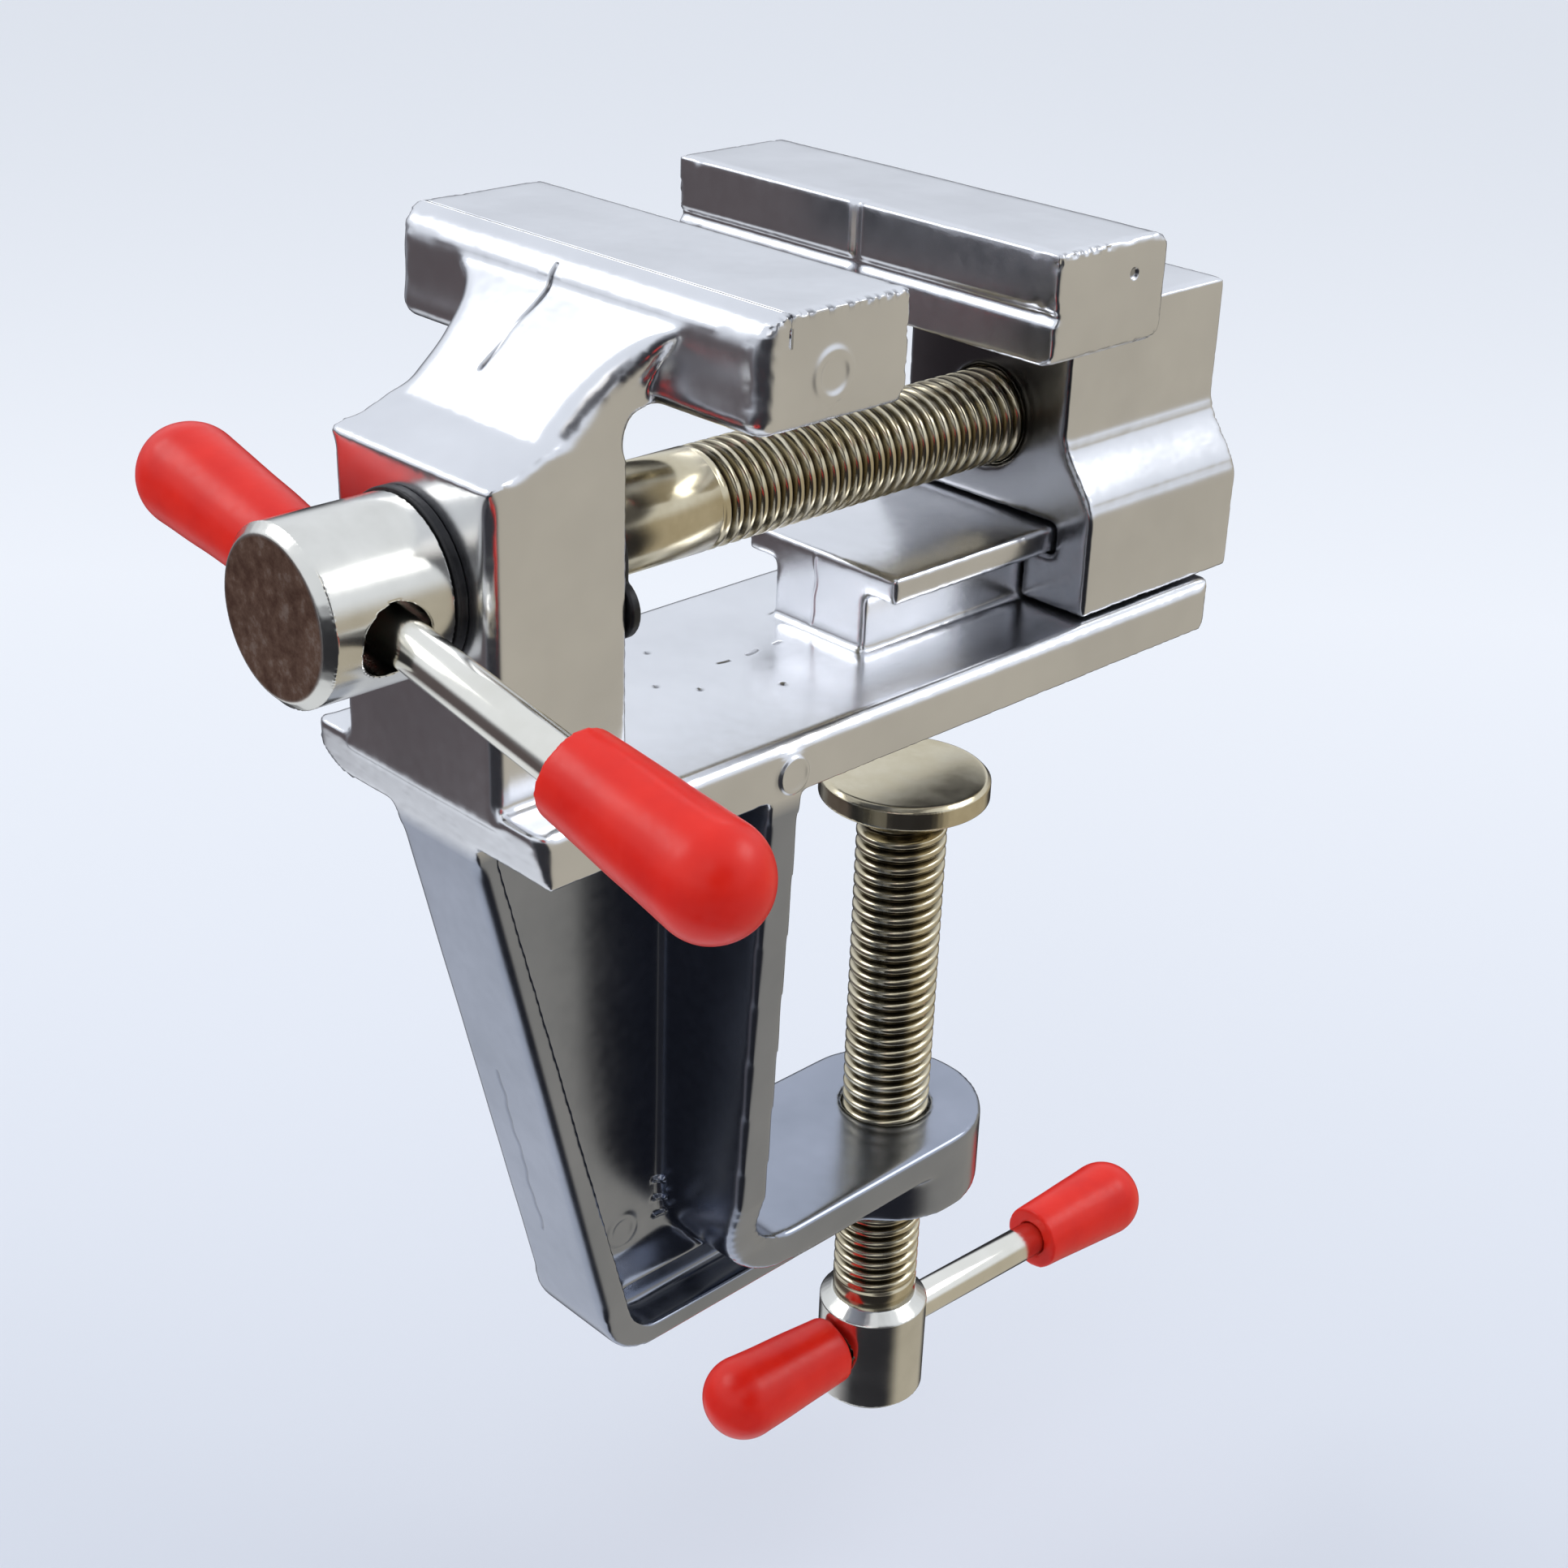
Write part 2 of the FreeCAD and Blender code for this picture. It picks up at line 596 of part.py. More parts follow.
def make_clamp_screw(doc):
    ball_top = "pad_top - pad_roof - pad_clearance"
    shoulder = "clamp_head_top - clamp_head_shoulder"
    blank = turned(doc, "clamp_screw_blank", [
        ("0", "clamp_head_bottom"), ("clamp_head_radius - head_chamfer", "clamp_head_bottom"),
        ("clamp_head_radius", "clamp_head_bottom + head_chamfer"), ("clamp_head_radius", shoulder),
        ("screw_radius", "clamp_head_top"), ("screw_radius", "clamp_screw_top - screw_tip_chamfer"),
        ("screw_radius - screw_tip_chamfer", "clamp_screw_top"), ("pad_neck_radius", "clamp_screw_top"),
        ("pad_neck_radius", ball_top + " - pad_ball_height"),
        ("pad_ball_radius", ball_top + " - pad_ball_height"),
        ("pad_ball_radius", ball_top), ("0", ball_top)])
    hole = doc.addObject("Part::Cylinder", "clamp_cross_hole")
    hole.setExpression("Radius", length("clamp_hole_radius"))
    hole.setExpression("Height", length("4 * clamp_head_radius"))
    hole.Placement = clamp_bar_placement(doc, -2 * DIMENSIONS["clamp_head_radius"])
    return cut(doc, "clamp_screw", blank, [hole])


def make_pad(doc):
    roof = "pad_top - pad_roof"
    floor = "pad_top - pad_roof - pad_ball_height - 2 * pad_clearance"
    neck = "pad_neck_radius + pad_clearance"
    socket = "pad_ball_radius + pad_clearance"
    return turned(doc, "clamp_pad", [
        ("0", roof), (socket, roof), (socket, floor), (neck, floor), (neck, "pad_top - pad_thick"),
        ("pad_neck_radius + pad_skirt_wall", "pad_top - pad_thick"),
        ("pad_radius", "pad_top - pad_skirt_height"),
        ("pad_radius", "pad_top - pad_chamfer"), ("pad_radius - pad_chamfer", "pad_top"), ("0", "pad_top")])


def check_document(doc):
    doc.recompute()
    for item in doc.Objects:
        if "Invalid" in item.State or "Error" in item.State:
            raise RuntimeError(item.Name + " failed: " + str(item.State))


def write_parts(parts):
    for name, item in parts:
        if item.Shape.isNull() or not item.Shape.isValid() or not item.Shape.Solids:
            raise RuntimeError(name + " has no valid solid")
    os.makedirs("parts", exist_ok=True)
    for name, item in parts:
        item.Label = name
        item.Shape.exportStep("parts/" + name + ".step")
        box = item.Shape.BoundBox
        print(name, len(item.Shape.Solids), round(item.Shape.Volume, 1),
              [round(v, 2) for v in (box.XMin, box.YMin, box.ZMin, box.XMax, box.YMax, box.ZMax)])


def main():
    doc = FreeCAD.newDocument("bench_vise")
    make_sheet(doc)
    parts = [make_clamp_frame(doc), make_sliding_jaw(doc), make_main_screw(doc), make_washer(doc),
             make_clip(doc), make_clamp_screw(doc), make_pad(doc)]
    parts += make_bars(doc)
    check_document(doc)
    write_parts([(item.Name, item) for item in parts])


main()
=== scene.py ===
import math

import bmesh
import bpy
import numpy as np
from mathutils import Matrix, Vector, noise


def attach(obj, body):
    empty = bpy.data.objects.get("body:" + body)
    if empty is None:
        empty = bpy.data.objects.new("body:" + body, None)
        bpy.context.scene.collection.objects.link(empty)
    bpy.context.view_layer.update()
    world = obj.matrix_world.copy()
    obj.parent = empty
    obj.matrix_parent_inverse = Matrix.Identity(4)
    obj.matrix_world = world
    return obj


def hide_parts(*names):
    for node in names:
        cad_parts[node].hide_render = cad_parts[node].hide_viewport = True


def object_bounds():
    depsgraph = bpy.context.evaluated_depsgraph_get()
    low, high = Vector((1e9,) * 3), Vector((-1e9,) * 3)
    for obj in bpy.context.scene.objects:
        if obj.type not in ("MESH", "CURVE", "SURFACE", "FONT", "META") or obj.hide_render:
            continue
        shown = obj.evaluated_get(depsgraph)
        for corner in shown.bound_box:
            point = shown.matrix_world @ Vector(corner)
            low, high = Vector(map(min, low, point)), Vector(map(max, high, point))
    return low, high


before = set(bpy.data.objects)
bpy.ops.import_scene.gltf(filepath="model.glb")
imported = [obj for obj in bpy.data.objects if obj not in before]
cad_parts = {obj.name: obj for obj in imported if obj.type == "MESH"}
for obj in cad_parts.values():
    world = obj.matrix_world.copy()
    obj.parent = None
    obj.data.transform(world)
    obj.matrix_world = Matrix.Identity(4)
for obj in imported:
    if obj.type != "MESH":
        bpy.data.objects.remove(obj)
CAD_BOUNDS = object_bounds()

# All sizes are in metres, in the frame of the CAD model.
MM = 0.001
X_AXIS = Vector((1, 0, 0))
Y_AXIS = Vector((0, 1, 0))
Z_AXIS = Vector((0, 0, 1))

# Camera: where it looks, from where, and how far it leans.
CAMERA_TARGET = Vector((9.21, -23.91, -1.65)) * MM
CAMERA_DISTANCE = 182.34 * MM
CAMERA_AZIMUTH = 45.12
CAMERA_ELEVATION = 26.49
CAMERA_LEAN = 2.07
CAMERA_LENS = 55.1
CAMERA_SENSOR = 36.0

# The screws. Distances along the main screw are Y, and along the clamp screw Z.
THREAD_PITCH = 1.25 * MM
THREAD_DEPTH = 0.62 * MM
THREAD_STEPS = 12
SCREW_SEGMENTS = 72
SCREW_RADIUS = 4.0 * MM
SCREW_LEVEL = 19.0 * MM
MAIN_HEAD_RADIUS = 6.35 * MM
MAIN_HEAD_FRONT = -61.9 * MM
MAIN_HEAD_REAR = -51.9 * MM
# Radius of the painted brown reflection on the main head's end face.
MAIN_HEAD_REFLECTION = 5.7 * MM
CLIP_GROOVE = (-39.15 * MM, -38.25 * MM)
CLIP_GROOVE_RADIUS = 3.2 * MM
MAIN_THREAD_START = -26.0 * MM
MAIN_TIP = 29.0 * MM
TIP_CHAMFER = 1.0 * MM
CLAMP_HEAD_RADIUS = 5.2 * MM
CLAMP_HEAD_TOP = -67.2 * MM
CLAMP_THREAD_START = -65.5 * MM
CLAMP_TIP = -15.6 * MM
CLAMP_NECK_RADIUS = 2.6 * MM
CLAMP_BALL = (-14.48 * MM, -12.88 * MM)
CLAMP_BALL_RADIUS = 3.4 * MM
STEP_GAP = 0.01 * MM
BEFORE_ALL = -1.0

# The two bars: how far they reach along their directions, and how those are turned in degrees.
BAR_RADIUS = 1.75 * MM
BAR_CHAMFER = 0.3 * MM
MAIN_BAR_CENTRE = -56.0 * MM
MAIN_BAR_ENDS = (-19.0 * MM, 36.3 * MM)
MAIN_BAR_TILT = 10
CLAMP_BAR_LEVEL = -72.2 * MM
CLAMP_BAR_ENDS = (-16.3 * MM, 33.4 * MM)
CLAMP_BAR_TURN = 3

# The castings: where their faces lie. The neck's foot and top are (Y, Z).
COLUMN_HALF = 8.8 * MM
COLUMN_FRONT = -51.0 * MM
PLATE_HALF = 13.3 * MM
PLATE_TOP = 4.3 * MM
RAIL_FRONT = -11.6 * MM
LEG_HALF = 4.8 * MM
LEG_FRONT = -50.0 * MM
LEG_SLOPE = 0.25
JAW_TOP = 38.8 * MM
FIXED_END = 19.5 * MM
SLIDING_END = 20.0 * MM
SLIDING_INNER = 7.0 * MM
BULGE = 0.010 / MM
BULGE_LEVELS = (31.0 * MM, 37.0 * MM)
NECK_FOOT = (-46.1 * MM, 29.3 * MM)
NECK_TOP = (-37.6 * MM, 36.6 * MM)
NECK_ROUND = 2.2 * MM
FLARE_RADIUS = 6.0 * MM
FLARE_START = 31.2 * MM
FLARE_HALF = (8.7 * MM, 12.2 * MM)
FLARE_LEVELS = (14.0 * MM, 18.5 * MM)
FLARE_FLOW = (12.6 * MM, 19.6 * MM)

# The marks that the mould and the ejector pins left, in millimetres.
PLATE_PITS = ((-0.7, -28.2), (1.9, -26.0), (-3.4, -31.0), (5.2, -20.4), (-6.0, -24.5))
LEG_STEPS = (-39.5, -41.4, -43.2)
END_RING = (19.5, -31.0, 34.2)
WEB_RING = (1.5, -33.4, -43.0)
FLANK_DISC = (13.3, -27.1, 1.7)
JAW_DIMPLE = (20.0, -0.8, 36.2)
# Height in millimetres of the middle of the painted shade in the sliding jaw's throat.
THROAT_SHADE_LEVEL = 22.0

# Boxes (low corner, high corner), in millimetres, where finer faces hold the marks.
FRAME_BOXES = {
    "end ring": ((19.0, -33.6, 31.8), (20.0, -28.4, 36.6)),
    "flank disc": ((12.4, -29.4, -0.5), (13.9, -24.8, 3.9)),
    "neck crack": ((-3.2, -45.0, 31.2), (-0.5, -36.2, 39.5)),
    "plate line": ((-1.6, -22.3, 3.8), (0.0, -14.2, 4.8)),
    "rail line": ((-1.3, -12.2, 4.6), (0.3, -11.0, 11.2)),
    "leg line": ((-1.7, -45.6, -42.0), (-0.3, -38.4, -23.2)),
    "web ring": ((1.0, -35.4, -44.6), (2.0, -31.4, -41.2)),
    "plate pits": ((-7.0, -32.0, 3.8), (6.2, -19.6, 4.8)),
    "leg steps": ((1.0, -30.4, -44.0), (2.6, -28.4, -38.8)),
    "worn edge": ((18.7, -37.0, 37.9), (19.9, -23.7, 39.2)),
}
JAW_BOXES = {
    "worn edge": ((19.2, -9.5, 37.9), (20.4, -3.6, 39.2)),
    "dimple": ((19.4, -1.8, 35.2), (20.5, 0.2, 37.2)),
    "plate line": ((19.4, -7.0, 30.2), (20.5, 3.0, 31.6)),
}

# The darker and the lighter colour of each surface, and the colours of what lies in its marks.
CASTING_BRIGHT = ((0.76, 0.77, 0.80), (0.84, 0.85, 0.88))
# A darker copy of the casting colour, painted on the leg as shade.
CASTING_SHADED = ((0.34, 0.37, 0.44), (0.40, 0.43, 0.51))
# The colour of dark marks and wear, also used for the painted shade in the sliding jaw's throat.
CASTING_MARK_AND_SHADE = (0.05, 0.05, 0.06)
CASTING_CHIP = (0.10, 0.10, 0.12)
NICKEL = ((0.58, 0.51, 0.35), (0.76, 0.69, 0.52))
NICKEL_BRIGHT = ((0.82, 0.80, 0.72), (0.90, 0.88, 0.81))
NICKEL_PALE = ((0.72, 0.71, 0.66), (0.82, 0.81, 0.76))
# Painted shade in the thread roots.
THREAD_ROOT_SHADE = (0.07, 0.055, 0.03)
# A painted reflection: the brown mottled colours of the main head's end face.
END_FACE_REFLECTION = ((0.24, 0.13, 0.09), (0.40, 0.25, 0.18), (0.62, 0.48, 0.40))
VINYL_RED = ((0.80, 0.010, 0.003), (0.92, 0.020, 0.007))
OXIDE_BLACK = ((0.010, 0.010, 0.011), (0.030, 0.030, 0.033))

# The studio.
FLOOR_GAP = 32.0 * MM
FLOOR_HALF = 3.0
WALL_GREY = (0.26, 0.27, 0.30)
WALL_WARM = (0.48, 0.44, 0.36)
WALL_DARK = (0.03, 0.03, 0.035)
WALL_PLUM = (0.10, 0.085, 0.09)
WALL_SIDE = (0.09, 0.09, 0.10)
LOW_GREY = (0.78, 0.81, 0.86)
CEILING = (0.84, 0.88, 0.95)
BACKDROP = (0.76, 0.80, 0.87)
# The floor's painted light: darker near the front, paler far back.
FLOOR_SHADED_NEAR = (0.70, 0.73, 0.80)
FLOOR_LIT_FAR = (0.95, 0.96, 0.98)

# What the metal mirrors. Each wall has a direction, the cosines of the angles from that direction
# at which it begins and is full, and a colour. Later walls cover earlier ones.
WALLS = (
    ((0.7, 0.7, -0.3), 0.35, 0.75, WALL_WARM),
    ((-0.63, -0.63, -0.45), 0.70, 0.93, WALL_PLUM),
    ((0.63, -0.63, -0.45), 0.55, 0.85, WALL_DARK),
    ((-0.3, -0.1, -1.0), 0.70, 0.88, LOW_GREY),
    ((-0.63, 0.63, -0.45), 0.75, 0.92, WALL_DARK),
    ((0, 0, 1), -0.02, 0.30, CEILING),
    ((0.78, -0.35, 0.52), 0.86, 0.96, WALL_SIDE),
)

# How fine the meshes are that stand in for the CAD pieces.
CASTING_VOXEL = 0.3 * MM
SMALL_VOXEL = 0.2 * MM
FINE_VOXEL = 0.12 * MM

# How far smoothing moves a point that is on an edge, and how deep the nicks in the edges are.
EDGE_MOVE = 0.12 * MM
NICK_DEPTH = 0.08 * MM
END_NICK_DEPTH = 0.28 * MM


# ---------------------------------------------------------------- numbers

def smoothstep(low, high, value):
    share = np.clip((value - low) / (high - low), 0, 1)
    return share * share * (3 - 2 * share)


def span_share(values, low, high, fade=2.0 * MM):
    """1 between two limits, easing to 0 outside them."""
    return smoothstep(low - fade, low, values) * (1 - smoothstep(high, high + fade, values))


def box_share(points, low, high):
    """1 inside a box given in millimetres, easing to 0 outside it."""
    share = np.ones(len(points))
    for k in range(3):
        share *= span_share(points[:, k], low[k] * MM, high[k] * MM, 0.8 * MM)
    return share


def both_sides_share(points, low, high):
    """The same as box_share, for a box on the right and its mirror image on the left."""
    right = box_share(points, low, high)
    left = box_share(points, (-high[0], low[1], low[2]), (-low[0], high[1], high[2]))
    return np.maximum(right, left)


def ridge(distance, width):
    return np.exp(-(distance / width) ** 2)


def noise_at(points, scale):
    return np.array([noise.noise(Vector(point) * scale) for point in points])


# ---------------------------------------------------------------- materials

def new_material(name):
    material = bpy.data.materials.new(name)
    material.use_nodes = True
    return material, material.node_tree, material.node_tree.nodes["Principled BSDF"]


def object_coords(tree):
    return tree.nodes.new("ShaderNodeTexCoord").outputs["Object"]


def noise_node(tree, vector, scale, detail=3.0, roughness=0.55):
    node = tree.nodes.new("ShaderNodeTexNoise")
    node.inputs["Scale"].default_value = scale
    node.inputs["Detail"].default_value = detail
    node.inputs["Roughness"].default_value = roughness
    tree.links.new(vector, node.inputs["Vector"])
    return node.outputs["Fac"]


def ramp_node(tree, factor, stops):
    """A colour ramp from (position, colour) stops."""
    node = tree.nodes.new("ShaderNodeValToRGB")
    elements = node.color_ramp.elements
    while len(elements) < len(stops):
        elements.new(0.5)
    for element, (position, colour) in zip(elements, stops):
        element.position = position
        element.color = tuple(colour) + (1.0,)
    tree.links.new(factor, node.inputs["Fac"])
    return node.outputs["Color"]


def cloudy_colour(tree, cloud, colours):
    """A colour that drifts between two others with a noise."""
    return ramp_node(tree, cloud, [(0.3, colours[0]), (0.7, colours[1])])


def range_node(tree, factor, low, high, from_low=0.3, from_high=0.7):
    node = tree.nodes.new("ShaderNodeMapRange")
    node.inputs["From Min"].default_value = from_low
    node.inputs["From Max"].default_value = from_high
    node.inputs["To Min"].default_value = low
    node.inputs["To Max"].default_value = high
    tree.links.new(factor, node.inputs["Value"])
    return node.outputs["Result"]


def mix_colours(tree, factor, first, second):
    node = tree.nodes.new("ShaderNodeMix")
    node.data_type = "RGBA"
    for socket, value in (("Factor_Float", factor), ("A_Color", first), ("B_Color", second)):
        target = next(item for item in node.inputs if item.identifier == socket)
        if isinstance(value, (int, float)):
            target.default_value = value
        elif isinstance(value, tuple):
            target.default_value = value + (1.0,)
        else:
            tree.links.new(value, target)
    return next(item for item in node.outputs if item.identifier == "Result_Color")


def math_node(tree, operation, first, second):
    node = tree.nodes.new("ShaderNodeMath")
    node.operation = operation
    for socket, value in zip(node.inputs, (first, second)):
        if isinstance(value, (int, float)):
            socket.default_value = value
        else:
            tree.links.new(value, socket)
    return node.outputs["Value"]


def attribute_node(tree, name):
    node = tree.nodes.new("ShaderNodeAttribute")
    node.attribute_name = name
    return node.outputs["Fac"]


def level_share(tree, low, high):
    """0 below one level of the object and 1 above another."""
    split = tree.nodes.new("ShaderNodeSeparateXYZ")
    tree.links.new(object_coords(tree), split.inputs["Vector"])
    return range_node(tree, split.outputs["Z"], 0, 1, low, high)


def add_bump(tree, shader, layers):
    """Chain (height, strength, distance) layers into the shader's normal."""
    normal = None
    for height, strength, distance in layers:
        bump = tree.nodes.new("ShaderNodeBump")
        bump.inputs["Strength"].default_value = strength
        bump.inputs["Distance"].default_value = distance
        tree.links.new(height, bump.inputs["Height"])
        if normal is not None:
            tree.links.new(normal, bump.inputs["Normal"])
        normal = bump.outputs["Normal"]
    tree.links.new(normal, shader.inputs["Normal"])


def casting_material():
    """Bright tumbled aluminium die casting, painted darker on the leg as shade, with small pits along
    its edges.
    """
    material, tree, shader = new_material("aluminium_casting")
    coords = object_coords(tree)
    cloud = noise_node(tree, coords, 110, 3)
    satin = noise_node(tree, coords, 900, 3)
    grain = noise_node(tree, coords, 3800, 2)
    wave = noise_node(tree, coords, 160, 2)
    pits = noise_node(tree, coords, 1500, 3, 0.7)
    edge = attribute_node(tree, "edge")
    chipped = range_node(tree, math_node(tree, "MULTIPLY", pits, edge), 0, 1, 0.47, 0.52)
    bright = cloudy_colour(tree, cloud, CASTING_BRIGHT)
    shaded_leg = cloudy_colour(tree, cloud, CASTING_SHADED)
    # Painted shade: below the base plate the casting takes its darker copy.
    base = mix_colours(tree, level_share(tree, -1.5 * MM, 0.0), shaded_leg, bright)
    # Dark marks and wear, with the painted shade of the sliding jaw's throat, from the mark attribute.
    worn = mix_colours(tree, attribute_node(tree, "mark_and_shade"), base, CASTING_MARK_AND_SHADE)
    colour = mix_colours(tree, chipped, worn, CASTING_CHIP)
    tree.links.new(colour, shader.inputs["Base Color"])
    shader.inputs["Metallic"].default_value = 1.0
    tree.links.new(range_node(tree, satin, 0.20, 0.25), shader.inputs["Roughness"])
    add_bump(tree, shader, [
        (wave, 0.10, 0.10 * MM), (satin, 0.03, 0.03 * MM), (grain, 0.04, 0.01 * MM),
        (chipped, 0.5, -0.12 * MM)])
    return material


def nickel_material(name, colours, rough):
    """Turned steel under nickel: pale heads, painted shade in the thread roots and a painted brown
    reflection on the main head's end.
    """
    material, tree, shader = new_material(name)
    coords = object_coords(tree)
    cloud = noise_node(tree, coords, 260, 4)
    speck = noise_node(tree, coords, 2600, 2)
    mottle = noise_node(tree, coords, 900, 4, 0.65)
    end_reflection = attribute_node(tree, "end_reflection")
    plated = cloudy_colour(tree, cloud, colours)
    pale = cloudy_colour(tree, cloud, NICKEL_PALE)
    plated = mix_colours(tree, attribute_node(tree, "pale"), plated, pale)
    # Painted shade: the thread roots are coloured dark.
    root_shaded = mix_colours(tree, attribute_node(tree, "root_shade"), plated, THREAD_ROOT_SHADE)
    # Painted reflection: brown mottle on the main head's end face, which is also rougher.
    reflected_brown = ramp_node(tree, mottle, list(zip((0.35, 0.55, 0.72), END_FACE_REFLECTION)))
    tree.links.new(mix_colours(tree, end_reflection, root_shaded, reflected_brown), shader.inputs["Base Color"])
    shader.inputs["Metallic"].default_value = 1.0
    smooth_part = range_node(tree, cloud, rough[0], rough[1])
    roughness = math_node(tree, "ADD", smooth_part, math_node(tree, "MULTIPLY", end_reflection, 0.28))
    tree.links.new(roughness, shader.inputs["Roughness"])
    add_bump(tree, shader, [(speck, 0.05, 0.02 * MM), (mottle, 0.03, 0.02 * MM)])
    return material


def cap_material():
    """Dipped red vinyl: satin, slightly soft, with faint drips in its skin."""
    material, tree, shader = new_material("red_vinyl")
    coords = object_coords(tree)
    cloud = noise_node(tree, coords, 220, 3)
    skin = noise_node(tree, coords, 1500, 3)
    colour = cloudy_colour(tree, cloud, VINYL_RED)
    tree.links.new(colour, shader.inputs["Base Color"])
    tree.links.new(range_node(tree, skin, 0.28, 0.38), shader.inputs["Roughness"])
    shader.inputs["Specular IOR Level"].default_value = 0.38
    shader.inputs["Subsurface Weight"].default_value = 0.06
    shader.inputs["Subsurface Radius"].default_value = (0.6 * MM, 0.1 * MM, 0.05 * MM)
    shader.inputs["Subsurface Scale"].default_value = 1.0
    add_bump(tree, shader, [(cloud, 0.15, 0.15 * MM), (skin, 0.12, 0.03 * MM)])
    return material


def black_material():
    """Black oxide on spring steel."""
    material, tree, shader = new_material("black_oxide")
    coords = object_coords(tree)
    cloud = noise_node(tree, coords, 700, 3)
    colour = cloudy_colour(tree, cloud, OXIDE_BLACK)
    tree.links.new(colour, shader.inputs["Base Color"])
    shader.inputs["Metallic"].default_value = 0.3
    tree.links.new(range_node(tree, cloud, 0.28, 0.5), shader.inputs["Roughness"])
    add_bump(tree, shader, [(noise_node(tree, coords, 3000, 2), 0.1, 0.02 * MM)])
    return material


# ---------------------------------------------------------------- mesh helpers

def new_object(name, mesh):
    piece = bpy.data.objects.new(name, mesh)
    bpy.context.scene.collection.objects.link(piece)
    return piece


def apply_modifiers(piece):
    """Swap the piece's mesh for the one that its modifiers give, and drop them."""
    graph = bpy.context.evaluated_depsgraph_get()
    mesh = bpy.data.meshes.new_from_object(piece.evaluated_get(graph), depsgraph=graph)
    piece.modifiers.clear()
    old = piece.data
    piece.data = mesh
    bpy.data.meshes.remove(old)
    return piece


def copy_of_node(name, node):
    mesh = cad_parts[node].data.copy()
    mesh.materials.clear()
    return new_object(name, mesh)


def remesh(piece, voxel):
    modifier = piece.modifiers.new("remesh", "REMESH")
    modifier.mode = "VOXEL"
    modifier.voxel_size = voxel
    return apply_modifiers(piece)


def smooth(piece, passes):
    modifier = piece.modifiers.new("smooth", "SMOOTH")
    modifier.factor = 0.5
    modifier.iterations = passes
    return apply_modifiers(piece)


def soft_piece(name, node, voxel, passes):
    """A copy of a CAD node with rounded edges."""
    return smooth(remesh(copy_of_node(name, node), voxel), passes)


def points_of(piece):
    points = np.empty(len(piece.data.vertices) * 3)
    piece.data.vertices.foreach_get("co", points)
    return points.reshape(-1, 3)


def normals_of(piece):
    normals = np.empty(len(piece.data.vertices) * 3)
    piece.data.vertices.foreach_get("normal", normals)
    return normals.reshape(-1, 3)


def set_points(piece, points):
    piece.data.vertices.foreach_set("co", points.ravel())
    piece.data.update()


def set_attribute(piece, name, values):
    layer = piece.data.attributes.new(name, "FLOAT", "POINT")
    layer.data.foreach_set("value", np.asarray(values, dtype=float))


def swell(piece, amount, scale):
    """Move the surface in and out by a smooth noise."""
    points = points_of(piece)
    points += normals_of(piece) * (amount * noise_at(points, scale))[:, None]
    set_points(piece, points)


def join(piece, other):
    """Add the mesh of another object to a piece, and drop the other."""
    shape = bmesh.new()
    shape.from_mesh(piece.data)
    shape.from_mesh(other.data)
    shape.to_mesh(piece.data)
    shape.free()
    bpy.data.meshes.remove(other.data)
    return piece


def shade_smooth(piece):
    piece.data.polygons.foreach_set("use_smooth", [True] * len(piece.data.polygons))


def dress(piece, body, node, material):
    """Give a new piece its material and its body, and hide the CAD node that it stands for."""
    piece.data.materials.clear()
    piece.data.materials.append(material)
    shade_smooth(piece)
    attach(piece, body)
    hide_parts(node)


# ---------------------------------------------------------------- castings

def prism(name, axis, outline, low, high):
    """A closed prism: an outline in the two other coordinates, run along an axis (0, 1 or 2)."""
    count = len(outline)
    corners = []
    for level in (low, high):
        for first, second in outline:
            corner = [first * MM, second * MM]
            corner.insert(axis, level * MM)
            corners.append(corner)
    faces = [tuple(range(count)), tuple(range(2 * count - 1, count - 1, -1))]
    faces += [(i, i + count, (i + 1) % count + count, (i + 1) % count) for i in range(count)]
    mesh = bpy.data.meshes.new(name)
    mesh.from_pydata(corners, [], faces)
    return new_object(name, mesh)


def frame_extras():
    """What the CAD leaves out of the frame: the gussets in the leg, and a bevel at the rail."""
    extras = [prism("rail_bevel", 0, [(-12.2, 4.1), (-11.4, 4.1), (-11.4, 5.1)], -5.1, 5.1)]
    for side in (-1, 1):
        wedge = [(side * 1.3, -44.8), (side * 3.6, -46.9), (side * 3.6, -47.3), (side * 1.3, -47.5)]
        extras.append(prism("gusset", 1, wedge if side > 0 else wedge[::-1], -35.6, -25.0))
    return extras


def cast_piece(name, node, extras):
    """A casting with softly rounded edges, and an attribute that is 1 on them."""
    piece = copy_of_node(name, node)
    for extra in extras:
        join(piece, extra)
    remesh(piece, CASTING_VOXEL)
    sharp = points_of(piece)
    smooth(piece, 5)
    moved = np.linalg.norm(points_of(piece) - sharp, axis=1)
    set_attribute(piece, "edge", np.clip(moved / EDGE_MOVE, 0, 1))
    return piece


def soften(piece, region, passes):
    """Smooth a part of a piece further, where region(points) is above 0."""
    weights = region(points_of(piece))
    group = piece.vertex_groups.new(name="soft")
    for index in np.flatnonzero(weights > 0.01):
        group.add([int(index)], float(weights[index]), "REPLACE")
    modifier = piece.modifiers.new("soften", "SMOOTH")
    modifier.factor = 0.5
    modifier.iterations = passes
    modifier.vertex_group = "soft"
    apply_modifiers(piece)
    piece.vertex_groups.clear()


def leg_share(points):
    """1 on the leg, whose rims are rounder than the rest."""
    return 1 - smoothstep(-2.5 * MM, -1.0 * MM, points[:, 2])


def front_bend(points):
    """1 where the front of the column bends back into the leg."""
    return box_share(points, (-12.5, -53.0, 3.2), (12.5, -50.2, 5.4))


def fixed_neck(points):
    """1 on the sides of the fixed jaw's neck."""
    return both_sides_share(points, (7.2, -49.0, 28.0), (16.0, -38.6, 36.0))


